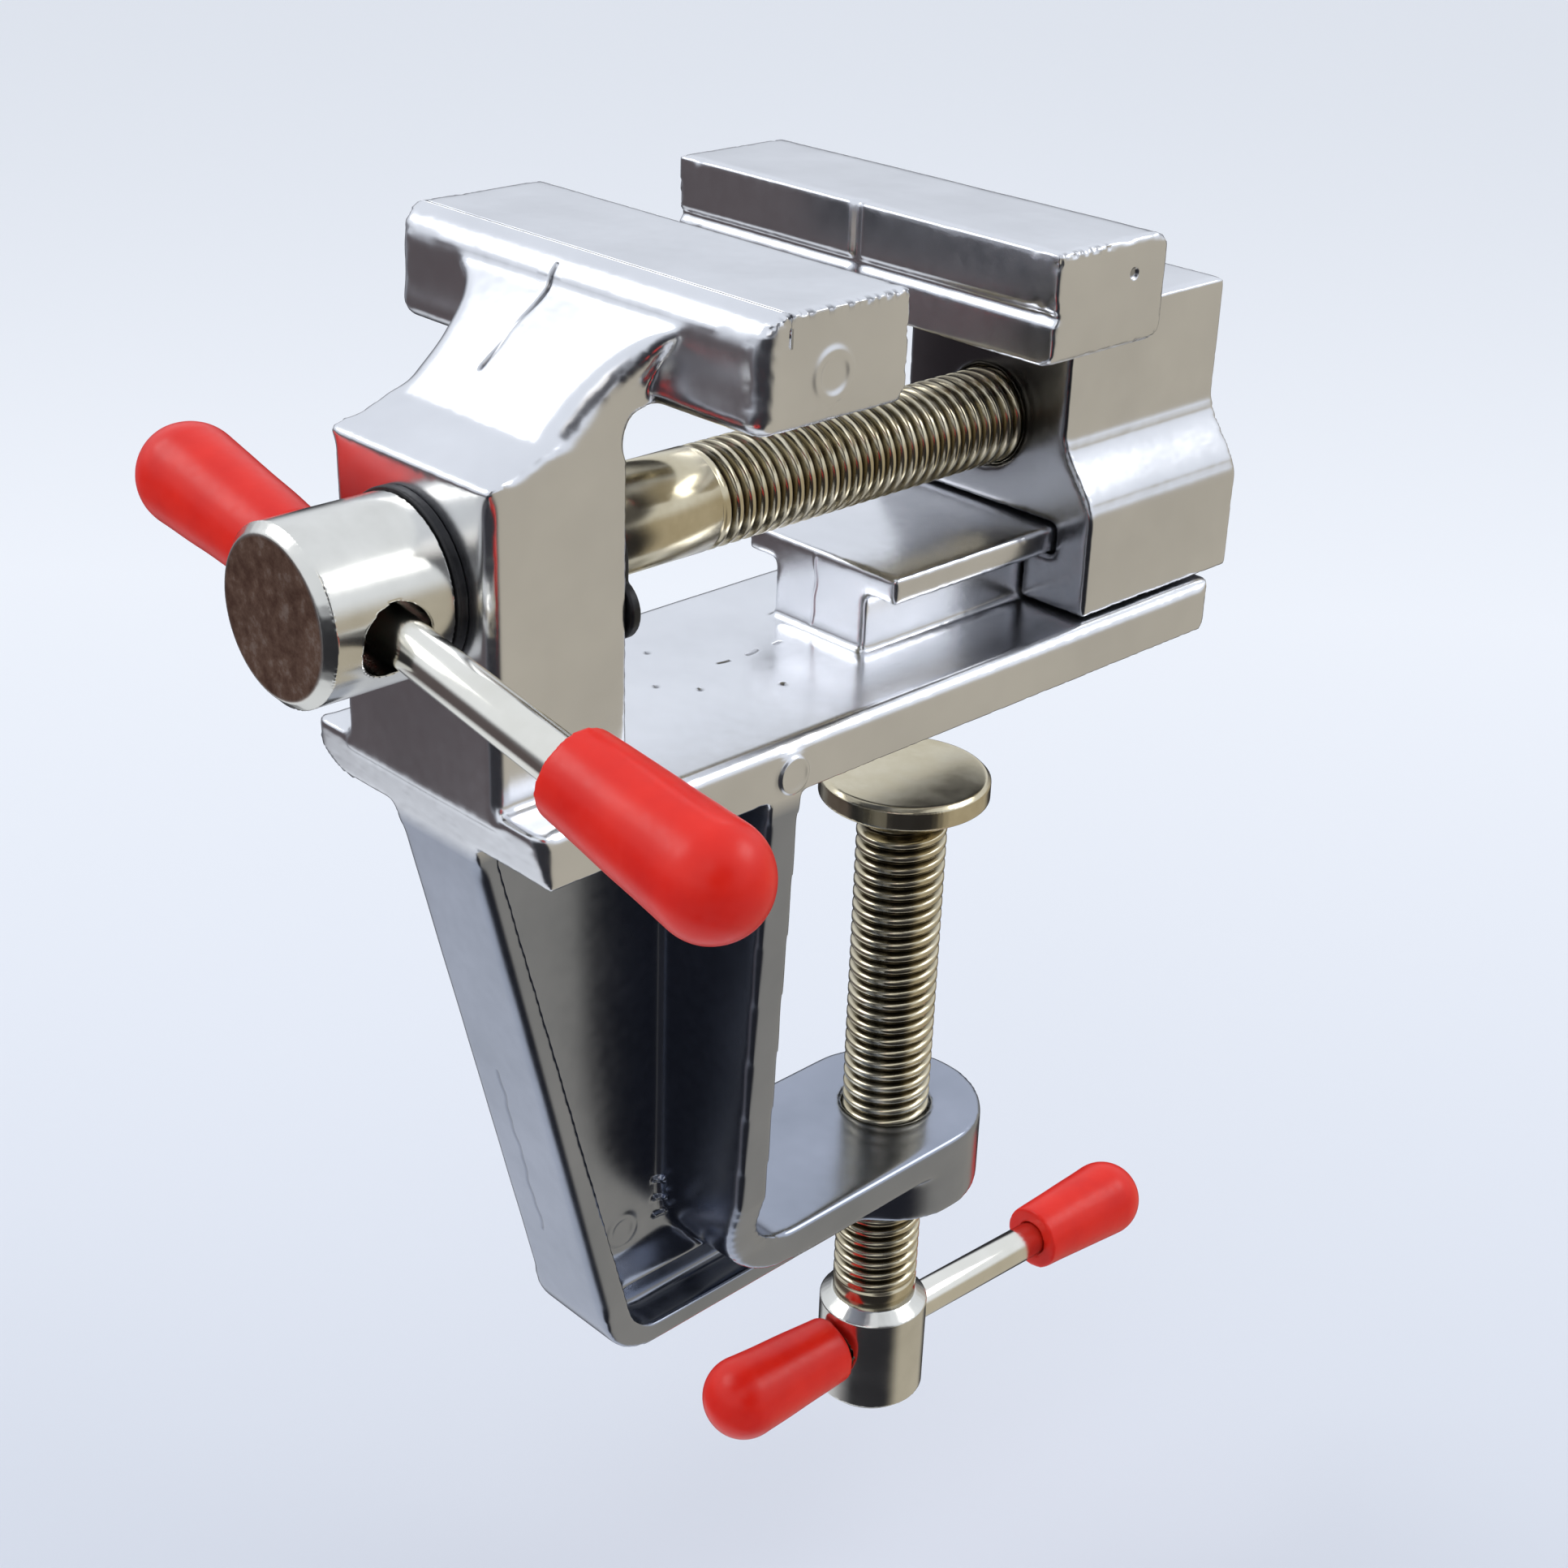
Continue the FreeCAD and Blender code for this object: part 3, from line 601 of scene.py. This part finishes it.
def sliding_neck(points):
    """1 on the sides of the sliding jaw's neck."""
    return both_sides_share(points, (6.5, 4.4, 28.5), (16.0, 13.5, 36.0))


def round_edge(points, axis, first, second, radius, span):
    """Bend points near an outer edge onto a round one.

    The edge runs along an axis. first and second are its two faces: (axis, position, outward sign).
    """
    (i, face_i, sign_i), (j, face_j, sign_j) = first, second
    u = (points[:, i] - face_i) * sign_i + radius
    v = (points[:, j] - face_j) * sign_j + radius
    distance = np.hypot(u, v)
    close = (u > 0) & (v > 0) & (distance > radius - 0.15 * MM) & (distance < 1.6 * radius)
    share = np.where(close, span_share(points[:, axis], *span), 0)
    share *= 1 - radius / np.maximum(distance, 0.1 * MM)
    points[:, i] -= sign_i * u * share
    points[:, j] -= sign_j * v * share


def bulge_of(levels):
    """How far the outside of the fixed grip plate leans back at every level."""
    low, high = BULGE_LEVELS
    return np.clip(levels - low, 0, high - low) ** 2 * BULGE


def round_neck(points):
    """Lower the sides of the fixed jaw's sloping neck, so that they roll over into its flanks."""
    run, rise = NECK_TOP[0] - NECK_FOOT[0], NECK_TOP[1] - NECK_FOOT[1]
    length = math.hypot(run, rise)
    y, z = points[:, 1] - NECK_FOOT[0], points[:, 2] - NECK_FOOT[1]
    along = (y * run + z * rise) / length
    under = (y * rise - z * run) / length
    climb = np.clip(points[:, 2] - FLARE_START, 0, 0.99 * FLARE_RADIUS)
    half = COLUMN_HALF + FLARE_RADIUS - np.sqrt(FLARE_RADIUS ** 2 - climb ** 2)
    roll = np.clip((np.abs(points[:, 0]) - half + NECK_ROUND) / NECK_ROUND, 0, 1) ** 2
    share = smoothstep(-0.5 * MM, 2.0 * MM, along) * (1 - smoothstep(length - 3 * MM, length, along))
    share *= (1 - smoothstep(0, 4.0 * MM, under)) * (under > -MM)
    points[:, 1] += 0.5 * NECK_ROUND * roll * share * rise / length
    points[:, 2] -= 0.5 * NECK_ROUND * roll * share * run / length


def shape_frame(points):
    """Round the edges of the frame that are rounder than the rest."""
    for side in (-1, 1):
        round_edge(points, 2, (0, side * COLUMN_HALF, side), (1, COLUMN_FRONT, -1), 1.1 * MM,
                   (5.5 * MM, 26.0 * MM))
        round_edge(points, 1, (0, side * PLATE_HALF, side), (2, PLATE_TOP, 1), 1.2 * MM,
                   (-49.0 * MM, 21.5 * MM))
    round_edge(points, 1, (0, -PLATE_HALF, -1), (2, 0.0, -1), 4.0 * MM, (-60.0 * MM, -44.0 * MM))
    bulge = bulge_of(points[:, 2])
    round_neck(points)
    points[:, 1] += bulge * (points[:, 1] < -35.0 * MM)
    points[:, 1] += LEG_SLOPE * points[:, 2]
    for side in (-1, 1):
        round_edge(points, 2, (0, side * LEG_HALF, side), (1, LEG_FRONT, -1), 1.0 * MM,
                   (-47.0 * MM, -3.0 * MM))
    points[:, 1] -= LEG_SLOPE * points[:, 2]


def shape_jaw(points):
    """Turn the straight chamfer over the foot of the sliding jaw into a flowing one."""
    narrow, wide = FLARE_HALF
    x, z = points[:, 0], points[:, 2]
    straight = np.interp(z, FLARE_LEVELS, (wide, narrow))
    flowing = wide + (narrow - wide) * smoothstep(*FLARE_FLOW, z)
    near_flank = smoothstep(straight - 2 * MM, straight - 0.2 * MM, np.abs(x)) * (z < 22 * MM)
    points[:, 0] += np.sign(x) * (flowing - straight) * near_flank


def chip_edges(piece):
    """Small nicks along the edges, deeper at the ends of the grip plates."""
    edge = np.empty(len(piece.data.vertices))
    piece.data.attributes["edge"].data.foreach_get("value", edge)
    points = points_of(piece)
    at_ends = (np.abs(points[:, 0]) > 17.5 * MM) & (points[:, 2] > 29 * MM)
    amount = np.where(at_ends, END_NICK_DEPTH, NICK_DEPTH) * (points[:, 2] > -1 * MM)
    nick = smoothstep(0.10, 0.40, noise_at(points, 1700)) * edge
    set_points(piece, points - normals_of(piece) * (amount * nick)[:, None])
    piece.data.attributes["edge"].data.foreach_set("value", edge * np.where(at_ends, 1.0, 0.78))


def refine(piece, boxes, cuts):
    """Divide the faces inside boxes."""
    shape = bmesh.new()
    shape.from_mesh(piece.data)
    for low, high in boxes:
        edges = [edge for edge in shape.edges if all(
            low[k] * MM < vertex.co[k] < high[k] * MM for vertex in edge.verts for k in range(3))]
        bmesh.ops.subdivide_edges(shape, edges=edges, cuts=cuts, use_grid_fill=True)
    shape.to_mesh(piece.data)
    shape.free()


# ---------------------------------------------------------------- marks on the castings

def away(points, centre):
    """How far points lie from the axis along X through a centre, and from the centre along X."""
    offset = points - np.array(centre) * MM
    return np.hypot(offset[:, 1], offset[:, 2]), np.abs(offset[:, 0])


def ring_mark(points, centre, radius, height):
    """A raised ring on a face that looks along X."""
    distance, depth = away(points, centre)
    return height * ridge(distance - radius, 0.42 * MM) * (depth < 0.6 * MM)


def disc_mark(points, centre, radius, height):
    """A raised or sunk disc on a face that looks along X."""
    distance, depth = away(points, centre)
    return height * (1 - smoothstep(radius - 0.3 * MM, radius, distance)) * (depth < 0.6 * MM)


def parting_line(points, middle, along, span, depth, width):
    """A wavy groove near a plane of constant X, along an axis, between two limits."""
    place = points[:, along]
    wave = 0.25 * MM * np.sin(place / (1.1 * MM)) + 0.15 * MM * np.sin(place / (0.43 * MM))
    share = span_share(place, span[0], span[1], 0.4 * MM)
    return depth * share * ridge(points[:, 0] - middle - 0.5 * wave, width)


def worn_edge(points, end, run):
    """Dark nicks along the top edge of a grip plate's end, between two limits along Y."""
    y = points[:, 1]
    broken = smoothstep(-0.1, 0.3, np.sin(y / (0.19 * MM)) * np.sin(y / (0.53 * MM) + 1.0))
    distance = np.hypot(points[:, 0] - end, points[:, 2] - JAW_TOP)
    return ridge(distance, 0.34 * MM) * broken * span_share(y, run[0] * MM, run[1] * MM, 0.4 * MM)


def on_plate_top(points):
    return np.abs(points[:, 2] - PLATE_TOP) < 0.8 * MM


def neck_crack(points):
    """A wandering crack over the fixed jaw's neck, deeper in places."""
    groove = parting_line(points, -1.8 * MM, 2, (32.0 * MM, 38.3 * MM), -0.30 * MM, 0.16 * MM)
    groove = groove * (points[:, 1] < -36.6 * MM)
    return groove * (0.55 + 0.45 * np.sin(points[:, 2] / (0.8 * MM)))


def plate_line(points):
    """A broken line along the top of the base plate."""
    groove = parting_line(points, -0.8 * MM, 1, (-21.5 * MM, -15.0 * MM), -0.08 * MM, 0.12 * MM)
    return groove * on_plate_top(points) * (np.sin(points[:, 1] / (0.5 * MM)) > 0)


def plate_pits(points):
    """1 in the middle of each small pit in the top of the base plate."""
    distances = [np.hypot(points[:, 0] - x * MM, points[:, 1] - y * MM) for x, y in PLATE_PITS]
    return sum(ridge(distance, 0.22 * MM) for distance in distances) * on_plate_top(points)


def rail_line(points):
    """A thin raised line down the front end of the rail."""
    line = parting_line(points, -0.5 * MM, 2, (5.2 * MM, 10.8 * MM), 0.07 * MM, 0.14 * MM)
    return line * (np.abs(points[:, 1] - RAIL_FRONT) < 0.5 * MM)


def leg_line(points):
    """A thin groove down the front of the leg."""
    groove = parting_line(points, -1.0 * MM, 2, (-41.0 * MM, -24.0 * MM), -0.07 * MM, 0.14 * MM)
    return groove * (points[:, 1] < LEG_FRONT - LEG_SLOPE * points[:, 2] + 0.6 * MM)


def leg_steps(points):
    """Short steps in the corner between the leg's web and its rear flange."""
    steps = sum(ridge(points[:, 2] - level * MM, 0.24 * MM) for level in LEG_STEPS)
    corner = span_share(points[:, 1], -29.9 * MM, -28.9 * MM, 0.3 * MM)
    return 0.3 * MM * steps * corner * (np.abs(points[:, 0]) < 2.2 * MM)


def ejector_marks(points):
    return (ring_mark(points, END_RING, 1.55 * MM, 0.20 * MM)
            + ring_mark(points, WEB_RING, 1.3 * MM, 0.12 * MM)
            + ring_mark(points, FLANK_DISC, 1.45 * MM, 0.16 * MM)
            + disc_mark(points, FLANK_DISC, 1.6 * MM, 0.22 * MM))


def frame_marks(points):
    """How far the marks on the clamp frame lift its surface, and how dark they are."""
    crack, line, groove = neck_crack(points), plate_line(points), leg_line(points)
    pits = plate_pits(points)
    worn = worn_edge(points, FIXED_END, (-35.5, -24.2))
    lift = crack + line + groove - 0.14 * MM * pits - 0.12 * MM * worn
    lift = lift + rail_line(points) + ejector_marks(points) + leg_steps(points)
    dark = -crack / (0.24 * MM) - line / (0.12 * MM) - 4 * groove / MM + 0.8 * pits + 0.9 * worn
    return lift, np.clip(dark, 0, 1)


def throat_painted_shade(points):
    """Painted shade on the face of the sliding jaw under its grip plate, darkest round the screw."""
    x, y, z = points.T
    around = np.hypot(x, z - THROAT_SHADE_LEVEL * MM)
    throat_shade = 0.50 + 0.38 * (1 - smoothstep(4.0 * MM, 13.0 * MM, around))
    on_face = (y > SLIDING_INNER - 2 * MM) & (y < SLIDING_INNER + 0.25 * MM) & (z < 30.0 * MM)
    return throat_shade * on_face


def jaw_marks(points):
    """The same for the sliding jaw: a dimple, a faint line under the end of its plate, and painted shade
    in its throat.
    """
    x, y, z = points.T
    dimple = -disc_mark(points, JAW_DIMPLE, 0.55 * MM, 0.25 * MM)
    line = ridge(z - 30.9 * MM - 0.04 * (y - 3 * MM), 0.10 * MM)
    line = line * span_share(y, -6 * MM, 2 * MM, 0.5 * MM) * (x > SLIDING_END - 0.5 * MM)
    worn = worn_edge(points, SLIDING_END, (-9.0, -4.0))
    # The throat term adds painted shade to how dark the marks are.
    dark = 0.5 * line - dimple / (0.5 * MM) + throat_painted_shade(points) + 0.8 * worn
    return dimple - 0.06 * MM * line - 0.08 * MM * worn, np.clip(dark, 0, 1)


def carve(piece, marks):
    """Lift the surface along its normals, and keep how dark it gets there as an attribute, painted shade
    included.
    """
    points = points_of(piece)
    lift, dark = marks(points)
    set_points(piece, points + normals_of(piece) * lift[:, None])
    set_attribute(piece, "mark_and_shade", dark)


def make_castings(material):
    frame_parts = ((leg_share, 12), (front_bend, 8), (fixed_neck, 50))
    jaw_parts = ((sliding_neck, 12),)
    for node, body, extras, soft_parts, shape, boxes, marks in (
            ("clamp_frame", "frame", frame_extras(), frame_parts, shape_frame, FRAME_BOXES, frame_marks),
            ("sliding_jaw", "jaw", [], jaw_parts, shape_jaw, JAW_BOXES, jaw_marks)):
        piece = cast_piece(node + "_casting", node, extras)
        for region, passes in soft_parts:
            soften(piece, region, passes)
        points = points_of(piece)
        shape(points)
        set_points(piece, points)
        chip_edges(piece)
        swell(piece, 0.03 * MM, 180)
        refine(piece, boxes.values(), 2)
        carve(piece, marks)
        dress(piece, body, node, material)


# ---------------------------------------------------------------- turned pieces

def rod_points(axis, stations, radii):
    """Rings of points round an axis, one per station, with a radius for every point."""
    origin, first, second, along = (np.array(vector) for vector in axis)
    angles = np.arange(radii.shape[1]) * 2 * math.pi / radii.shape[1]
    spokes = np.cos(angles)[:, None] * first + np.sin(angles)[:, None] * second
    rings = radii[:, :, None] * spokes[None, :, :] + stations[:, None, None] * along + origin
    ends = [origin + along * stations[0], origin + along * stations[-1]]
    return np.concatenate([rings.reshape(-1, 3), ends])


def rod_faces(rows, columns):
    """Quads between the rings of a rod, and a fan of triangles on each end."""
    faces = []
    last = (rows - 1) * columns
    near, far = rows * columns, rows * columns + 1
    for column in range(columns):
        following = (column + 1) % columns
        faces.append((near, following, column))
        faces.append((far, last + column, last + following))
        for start in range(0, last, columns):
            faces.append((start + column, start + following, start + columns + following,
                          start + columns + column))
    return faces


def rod(name, axis, stations, radii):
    """A closed rod along an axis given as (origin, first, second, along)."""
    mesh = bpy.data.meshes.new(name)
    points = rod_points(axis, stations, radii)
    mesh.from_pydata(points.tolist(), [], rod_faces(*radii.shape))
    return new_object(name, mesh)


def plain_rod(name, axis, stations, sizes):
    """A rod with one radius per station."""
    radii = np.repeat(np.array(sizes)[:, None], SCREW_SEGMENTS, axis=1)
    return rod(name, axis, np.array(stations), radii)


def thread_cut(stations, start, end):
    """How deep a right-hand thread cuts at every station and angle between two ends."""
    turns = np.arange(SCREW_SEGMENTS) / SCREW_SEGMENTS
    phase = (stations[:, None] / THREAD_PITCH - turns[None, :]) % 1.0
    from_crest = np.abs(phase - 0.5) * 2
    run_in = np.clip((stations - start) / THREAD_PITCH, 0, 1)
    run_in = run_in * np.clip((end - stations) / THREAD_PITCH, 0, 1)
    return THREAD_DEPTH * smoothstep(0.25, 0.95, from_crest) * run_in[:, None]


def threaded_stations(start, end):
    return np.arange(start, end, THREAD_PITCH / THREAD_STEPS)


def stepped(stations, steps):
    """The radius at every station of a rod whose steps are (where it starts, radius)."""
    starts, sizes = np.array(steps).T
    return sizes[np.searchsorted(starts, stations, side="right") - 1]


def threaded_rod(name, axis, plain, thread, steps, tip):
    """A rod with plain stations, a threaded length and a chamfer up to its tip."""
    start, end = thread
    stations = np.unique(np.concatenate([plain, threaded_stations(start, end), [tip]]))
    chamfer = SCREW_RADIUS - TIP_CHAMFER + tip - stations
    cut = thread_cut(stations, start, end + MM)
    piece = rod(name, axis, stations, np.minimum(stepped(stations, steps), chamfer)[:, None] - cut)
    # How deep the thread cuts, used as a mask of painted shade in the roots.
    root_shade = np.concatenate([(cut / THREAD_DEPTH).ravel(), (0, 0)])
    set_attribute(piece, "end_reflection", np.zeros(len(root_shade)))
    set_attribute(piece, "pale", np.zeros(len(root_shade)))
    set_attribute(piece, "root_shade", smoothstep(0.15, 0.85, root_shade))
    return piece


def both_sides(values):
    """Two stations close together round each step, so that it stays sharp."""
    return [value + shift for value in values for shift in (-STEP_GAP, STEP_GAP)]


def cut_head(name, node, plane_point, plane_normal):
    """The part of a CAD screw behind a plane, closed and with rounded edges."""
    piece = copy_of_node(name, node)
    shape = bmesh.new()
    shape.from_mesh(piece.data)
    bmesh.ops.remove_doubles(shape, verts=shape.verts[:], dist=0.001 * MM)
    everything = shape.verts[:] + shape.edges[:] + shape.faces[:]
    bmesh.ops.bisect_plane(shape, geom=everything, plane_co=plane_point, plane_no=plane_normal,
                           clear_outer=True)
    bmesh.ops.holes_fill(shape, edges=[edge for edge in shape.edges if edge.is_boundary], sides=0)
    shape.to_mesh(piece.data)
    shape.free()
    return smooth(remesh(piece, FINE_VOXEL), 3)


def true_up(piece, origin, along, radius):
    """Put points that lie almost on a cylinder exactly on it."""
    points = points_of(piece)
    offset = points - np.array(origin)
    height = offset @ np.array(along)
    across = offset - height[:, None] * np.array(along)
    distance = np.linalg.norm(across, axis=1)
    near = np.abs(distance - radius) < 0.05 * MM
    points[near] += across[near] * (radius / distance[near] - 1)[:, None]
    set_points(piece, points)


def mark_head(piece, reflection_radius):
    """Attributes for a head: a painted brown reflection on the main head's end face, a pale tone, and no
    painted root shade.
    """
    points = points_of(piece)
    radius = np.hypot(points[:, 0], points[:, 2] - SCREW_LEVEL)
    share = 1 - smoothstep(reflection_radius - 0.3 * MM, reflection_radius, radius)
    set_attribute(piece, "end_reflection", share * (points[:, 1] < MAIN_HEAD_FRONT + 0.1 * MM))
    set_attribute(piece, "pale", np.ones(len(points)))
    set_attribute(piece, "root_shade", np.zeros(len(points)))


def make_main_screw(material):
    level = Vector((0, 0, SCREW_LEVEL))
    head = cut_head("main_screw_turned", "main_screw", (0, MAIN_HEAD_REAR + STEP_GAP, 0), Y_AXIS)
    true_up(head, level, Y_AXIS, MAIN_HEAD_RADIUS)
    mark_head(head, MAIN_HEAD_REFLECTION)
    plain = np.array([MAIN_HEAD_REAR - MM] + both_sides(CLIP_GROOVE) + [MAIN_THREAD_START])
    steps = [(BEFORE_ALL, SCREW_RADIUS), (CLIP_GROOVE[0], CLIP_GROOVE_RADIUS),
             (CLIP_GROOVE[1], SCREW_RADIUS)]
    shank = threaded_rod("main_screw_shank", (level, Z_AXIS, X_AXIS, Y_AXIS), plain,
                         (MAIN_THREAD_START, MAIN_TIP), steps, MAIN_TIP)
    dress(join(head, shank), "screw", "main_screw", material)


def make_clamp_screw(material):
    origin = Vector((0, 0, 0))
    head = cut_head("clamp_screw_turned", "clamp_screw", (0, 0, CLAMP_HEAD_TOP + STEP_GAP), Z_AXIS)
    true_up(head, origin, Z_AXIS, CLAMP_HEAD_RADIUS)
    mark_head(head, 0.0)
    shank = threaded_rod("clamp_screw_shank", (origin, X_AXIS, Y_AXIS, Z_AXIS), [CLAMP_HEAD_TOP - MM],
                         (CLAMP_THREAD_START, CLAMP_TIP), [(BEFORE_ALL, SCREW_RADIUS)], CLAMP_TIP)
    low, high = CLAMP_BALL
    stations = [CLAMP_TIP - MM, low - STEP_GAP, low, high]
    sizes = [CLAMP_NECK_RADIUS, CLAMP_NECK_RADIUS, CLAMP_BALL_RADIUS, CLAMP_BALL_RADIUS]
    rivet = plain_rod("clamp_screw_rivet", (origin, X_AXIS, Y_AXIS, Z_AXIS), stations, sizes)
    mark_head(rivet, 0.0)
    dress(join(join(head, shank), rivet), "clamp", "clamp_screw", material)


def make_bar(node, body, centre, direction, ends, material):
    """A bar with chamfered ends, between two distances along its direction."""
    across = direction.orthogonal().normalized()
    low, high = ends
    axis = (centre, across, direction.cross(across), direction)
    stations = [low, low + BAR_CHAMFER, high - BAR_CHAMFER, high]
    sizes = [BAR_RADIUS - BAR_CHAMFER, BAR_RADIUS, BAR_RADIUS, BAR_RADIUS - BAR_CHAMFER]
    piece = plain_rod(node + "_turned", axis, stations, sizes)
    dress(piece, body, node, material)


def make_bars(material):
    tilt, turn = math.radians(MAIN_BAR_TILT), math.radians(CLAMP_BAR_TURN)
    make_bar("main_bar", "screw_bar", Vector((0, MAIN_BAR_CENTRE, SCREW_LEVEL)),
             Vector((math.cos(tilt), 0, -math.sin(tilt))), MAIN_BAR_ENDS, material)
    make_bar("clamp_bar", "clamp_handle", Vector((0, 0, CLAMP_BAR_LEVEL)),
             Vector((math.sin(turn), math.cos(turn), 0)), CLAMP_BAR_ENDS, material)


# ---------------------------------------------------------------- small pieces

def make_cap(node, body, material):
    """A dipped cap, with soft rims and a slightly uneven skin."""
    piece = soft_piece(node + "_dipped", node, SMALL_VOXEL, 4)
    swell(piece, 0.05 * MM, 260)
    dress(piece, body, node, material)


def make_small_pieces(nickel, black, red):
    for node, material, slot, body in (("clamp_pad", nickel, "plated_steel", "pad"),
                                       ("thrust_washer", black, "black_steel", "screw"),
                                       ("retaining_clip", black, "black_steel", "screw")):
        dress(soft_piece(node + "_pressed", node, FINE_VOXEL, 2), body, node, material)
    for word in ("left", "right"):
        make_cap("main_bar_cap_" + word, "screw_bar", red)
    for word in ("front", "rear"):
        make_cap("clamp_bar_cap_" + word, "clamp_handle", red)


# ---------------------------------------------------------------- scene

def make_camera():
    azimuth, elevation = math.radians(CAMERA_AZIMUTH), math.radians(CAMERA_ELEVATION)
    back = Vector((math.sin(azimuth) * math.cos(elevation), -math.cos(azimuth) * math.cos(elevation),
                   math.sin(elevation)))
    right = Vector((math.cos(azimuth), math.sin(azimuth), 0))
    up = back.cross(right)
    lean = math.radians(CAMERA_LEAN)
    side = right * math.cos(lean) + up * math.sin(lean)
    top = up * math.cos(lean) - right * math.sin(lean)
    data = bpy.data.cameras.new("camera")
    data.lens = CAMERA_LENS
    data.sensor_width = CAMERA_SENSOR
    data.clip_start = 0.01
    camera = bpy.data.objects.new("camera", data)
    bpy.context.scene.collection.objects.link(camera)
    turn = Matrix((side, top, back)).transposed().to_4x4()
    camera.matrix_world = Matrix.Translation(CAMERA_TARGET + back * CAMERA_DISTANCE) @ turn
    bpy.context.scene.camera = camera


def make_floor():
    """A pale floor with painted light, darker near the front and paler far back, low enough for the
    clamp screw to come down to the end of its travel.
    """
    low = CAD_BOUNDS[0].z - FLOOR_GAP
    corners = [(-FLOOR_HALF, -FLOOR_HALF, low), (FLOOR_HALF, -FLOOR_HALF, low),
               (FLOOR_HALF, FLOOR_HALF, low), (-FLOOR_HALF, FLOOR_HALF, low)]
    mesh = bpy.data.meshes.new("floor")
    mesh.from_pydata(corners, [], [(0, 1, 2, 3)])
    floor = new_object("floor", mesh)
    material, tree, shader = new_material("floor")
    split = tree.nodes.new("ShaderNodeSeparateXYZ")
    tree.links.new(object_coords(tree), split.inputs["Vector"])
    # Painted light: the floor grows paler away from the front.
    depth = math_node(tree, "SUBTRACT", split.outputs["Y"], split.outputs["X"])
    colour = ramp_node(tree, range_node(tree, depth, 0, 1, -0.10, 0.40),
                       [(0.0, FLOOR_SHADED_NEAR), (1.0, FLOOR_LIT_FAR)])
    tree.links.new(colour, shader.inputs["Base Color"])
    shader.inputs["Roughness"].default_value = 0.9
    shader.inputs["Specular IOR Level"].default_value = 0.1
    floor.data.materials.append(material)
    floor.visible_glossy = False


def add_light(name, offset, size, power, colour=(1, 1, 1)):
    """A soft light at an offset from the middle of the object, and turned to it."""
    target = Vector((0, -0.015, 0))
    place = target + Vector(offset)
    data = bpy.data.lights.new(name, "AREA")
    data.shape = "RECTANGLE"
    data.size, data.size_y = size
    data.energy = power
    data.color = colour
    light = bpy.data.objects.new(name, data)
    bpy.context.scene.collection.objects.link(light)
    light.location = place
    light.rotation_mode = "QUATERNION"
    light.rotation_quaternion = (target - place).to_track_quat("-Z", "Y")
    light.visible_camera = False


def make_lights():
    add_light("key", (-0.30, -0.24, 0.34), (0.26, 0.20), 0.45)
    add_light("back", (0.26, 0.34, 0.36), (0.30, 0.20), 0.5)
    add_light("front", (0.36, -0.36, 0.50), (0.25, 0.20), 0.15, (1, 0.97, 0.93))


def direction_share(tree, direction, low, high):
    """A world node's 0 to 1, rising as the ray turns towards a direction."""
    coords = tree.nodes.new("ShaderNodeTexCoord")
    dot = tree.nodes.new("ShaderNodeVectorMath")
    dot.operation = "DOT_PRODUCT"
    tree.links.new(coords.outputs["Generated"], dot.inputs[0])
    dot.inputs[1].default_value = Vector(direction).normalized()
    node = tree.nodes.new("ShaderNodeMapRange")
    node.interpolation_type = "SMOOTHSTEP"
    node.inputs["From Min"].default_value = low
    node.inputs["From Max"].default_value = high
    tree.links.new(dot.outputs["Value"], node.inputs["Value"])
    return node.outputs["Result"]


def make_world():
    """A soft studio: a pale ceiling, and the walls. The camera itself sees a plain backdrop."""
    world = bpy.data.worlds.new("studio")
    world.use_nodes = True
    bpy.context.scene.world = world
    tree = world.node_tree
    background = tree.nodes["Background"]
    wall = WALL_GREY
    for direction, low, high, colour in WALLS:
        wall = mix_colours(tree, direction_share(tree, direction, low, high), wall, colour)
    path = tree.nodes.new("ShaderNodeLightPath")
    colour = mix_colours(tree, path.outputs["Is Camera Ray"], wall, BACKDROP)
    tree.links.new(colour, background.inputs["Color"])
    background.inputs["Strength"].default_value = 1.0


def main():
    casting = casting_material()
    nickel = nickel_material("nickel", NICKEL, (0.14, 0.22))
    bright = nickel_material("bright_nickel", NICKEL_BRIGHT, (0.10, 0.18))
    red = cap_material()
    black = black_material()
    make_castings(casting)
    make_main_screw(nickel)
    make_clamp_screw(nickel)
    make_bars(bright)
    make_small_pieces(nickel, black, red)
    make_camera()
    make_floor()
    make_world()
    make_lights()
    bpy.context.scene.view_settings.view_transform = "Standard"


main()
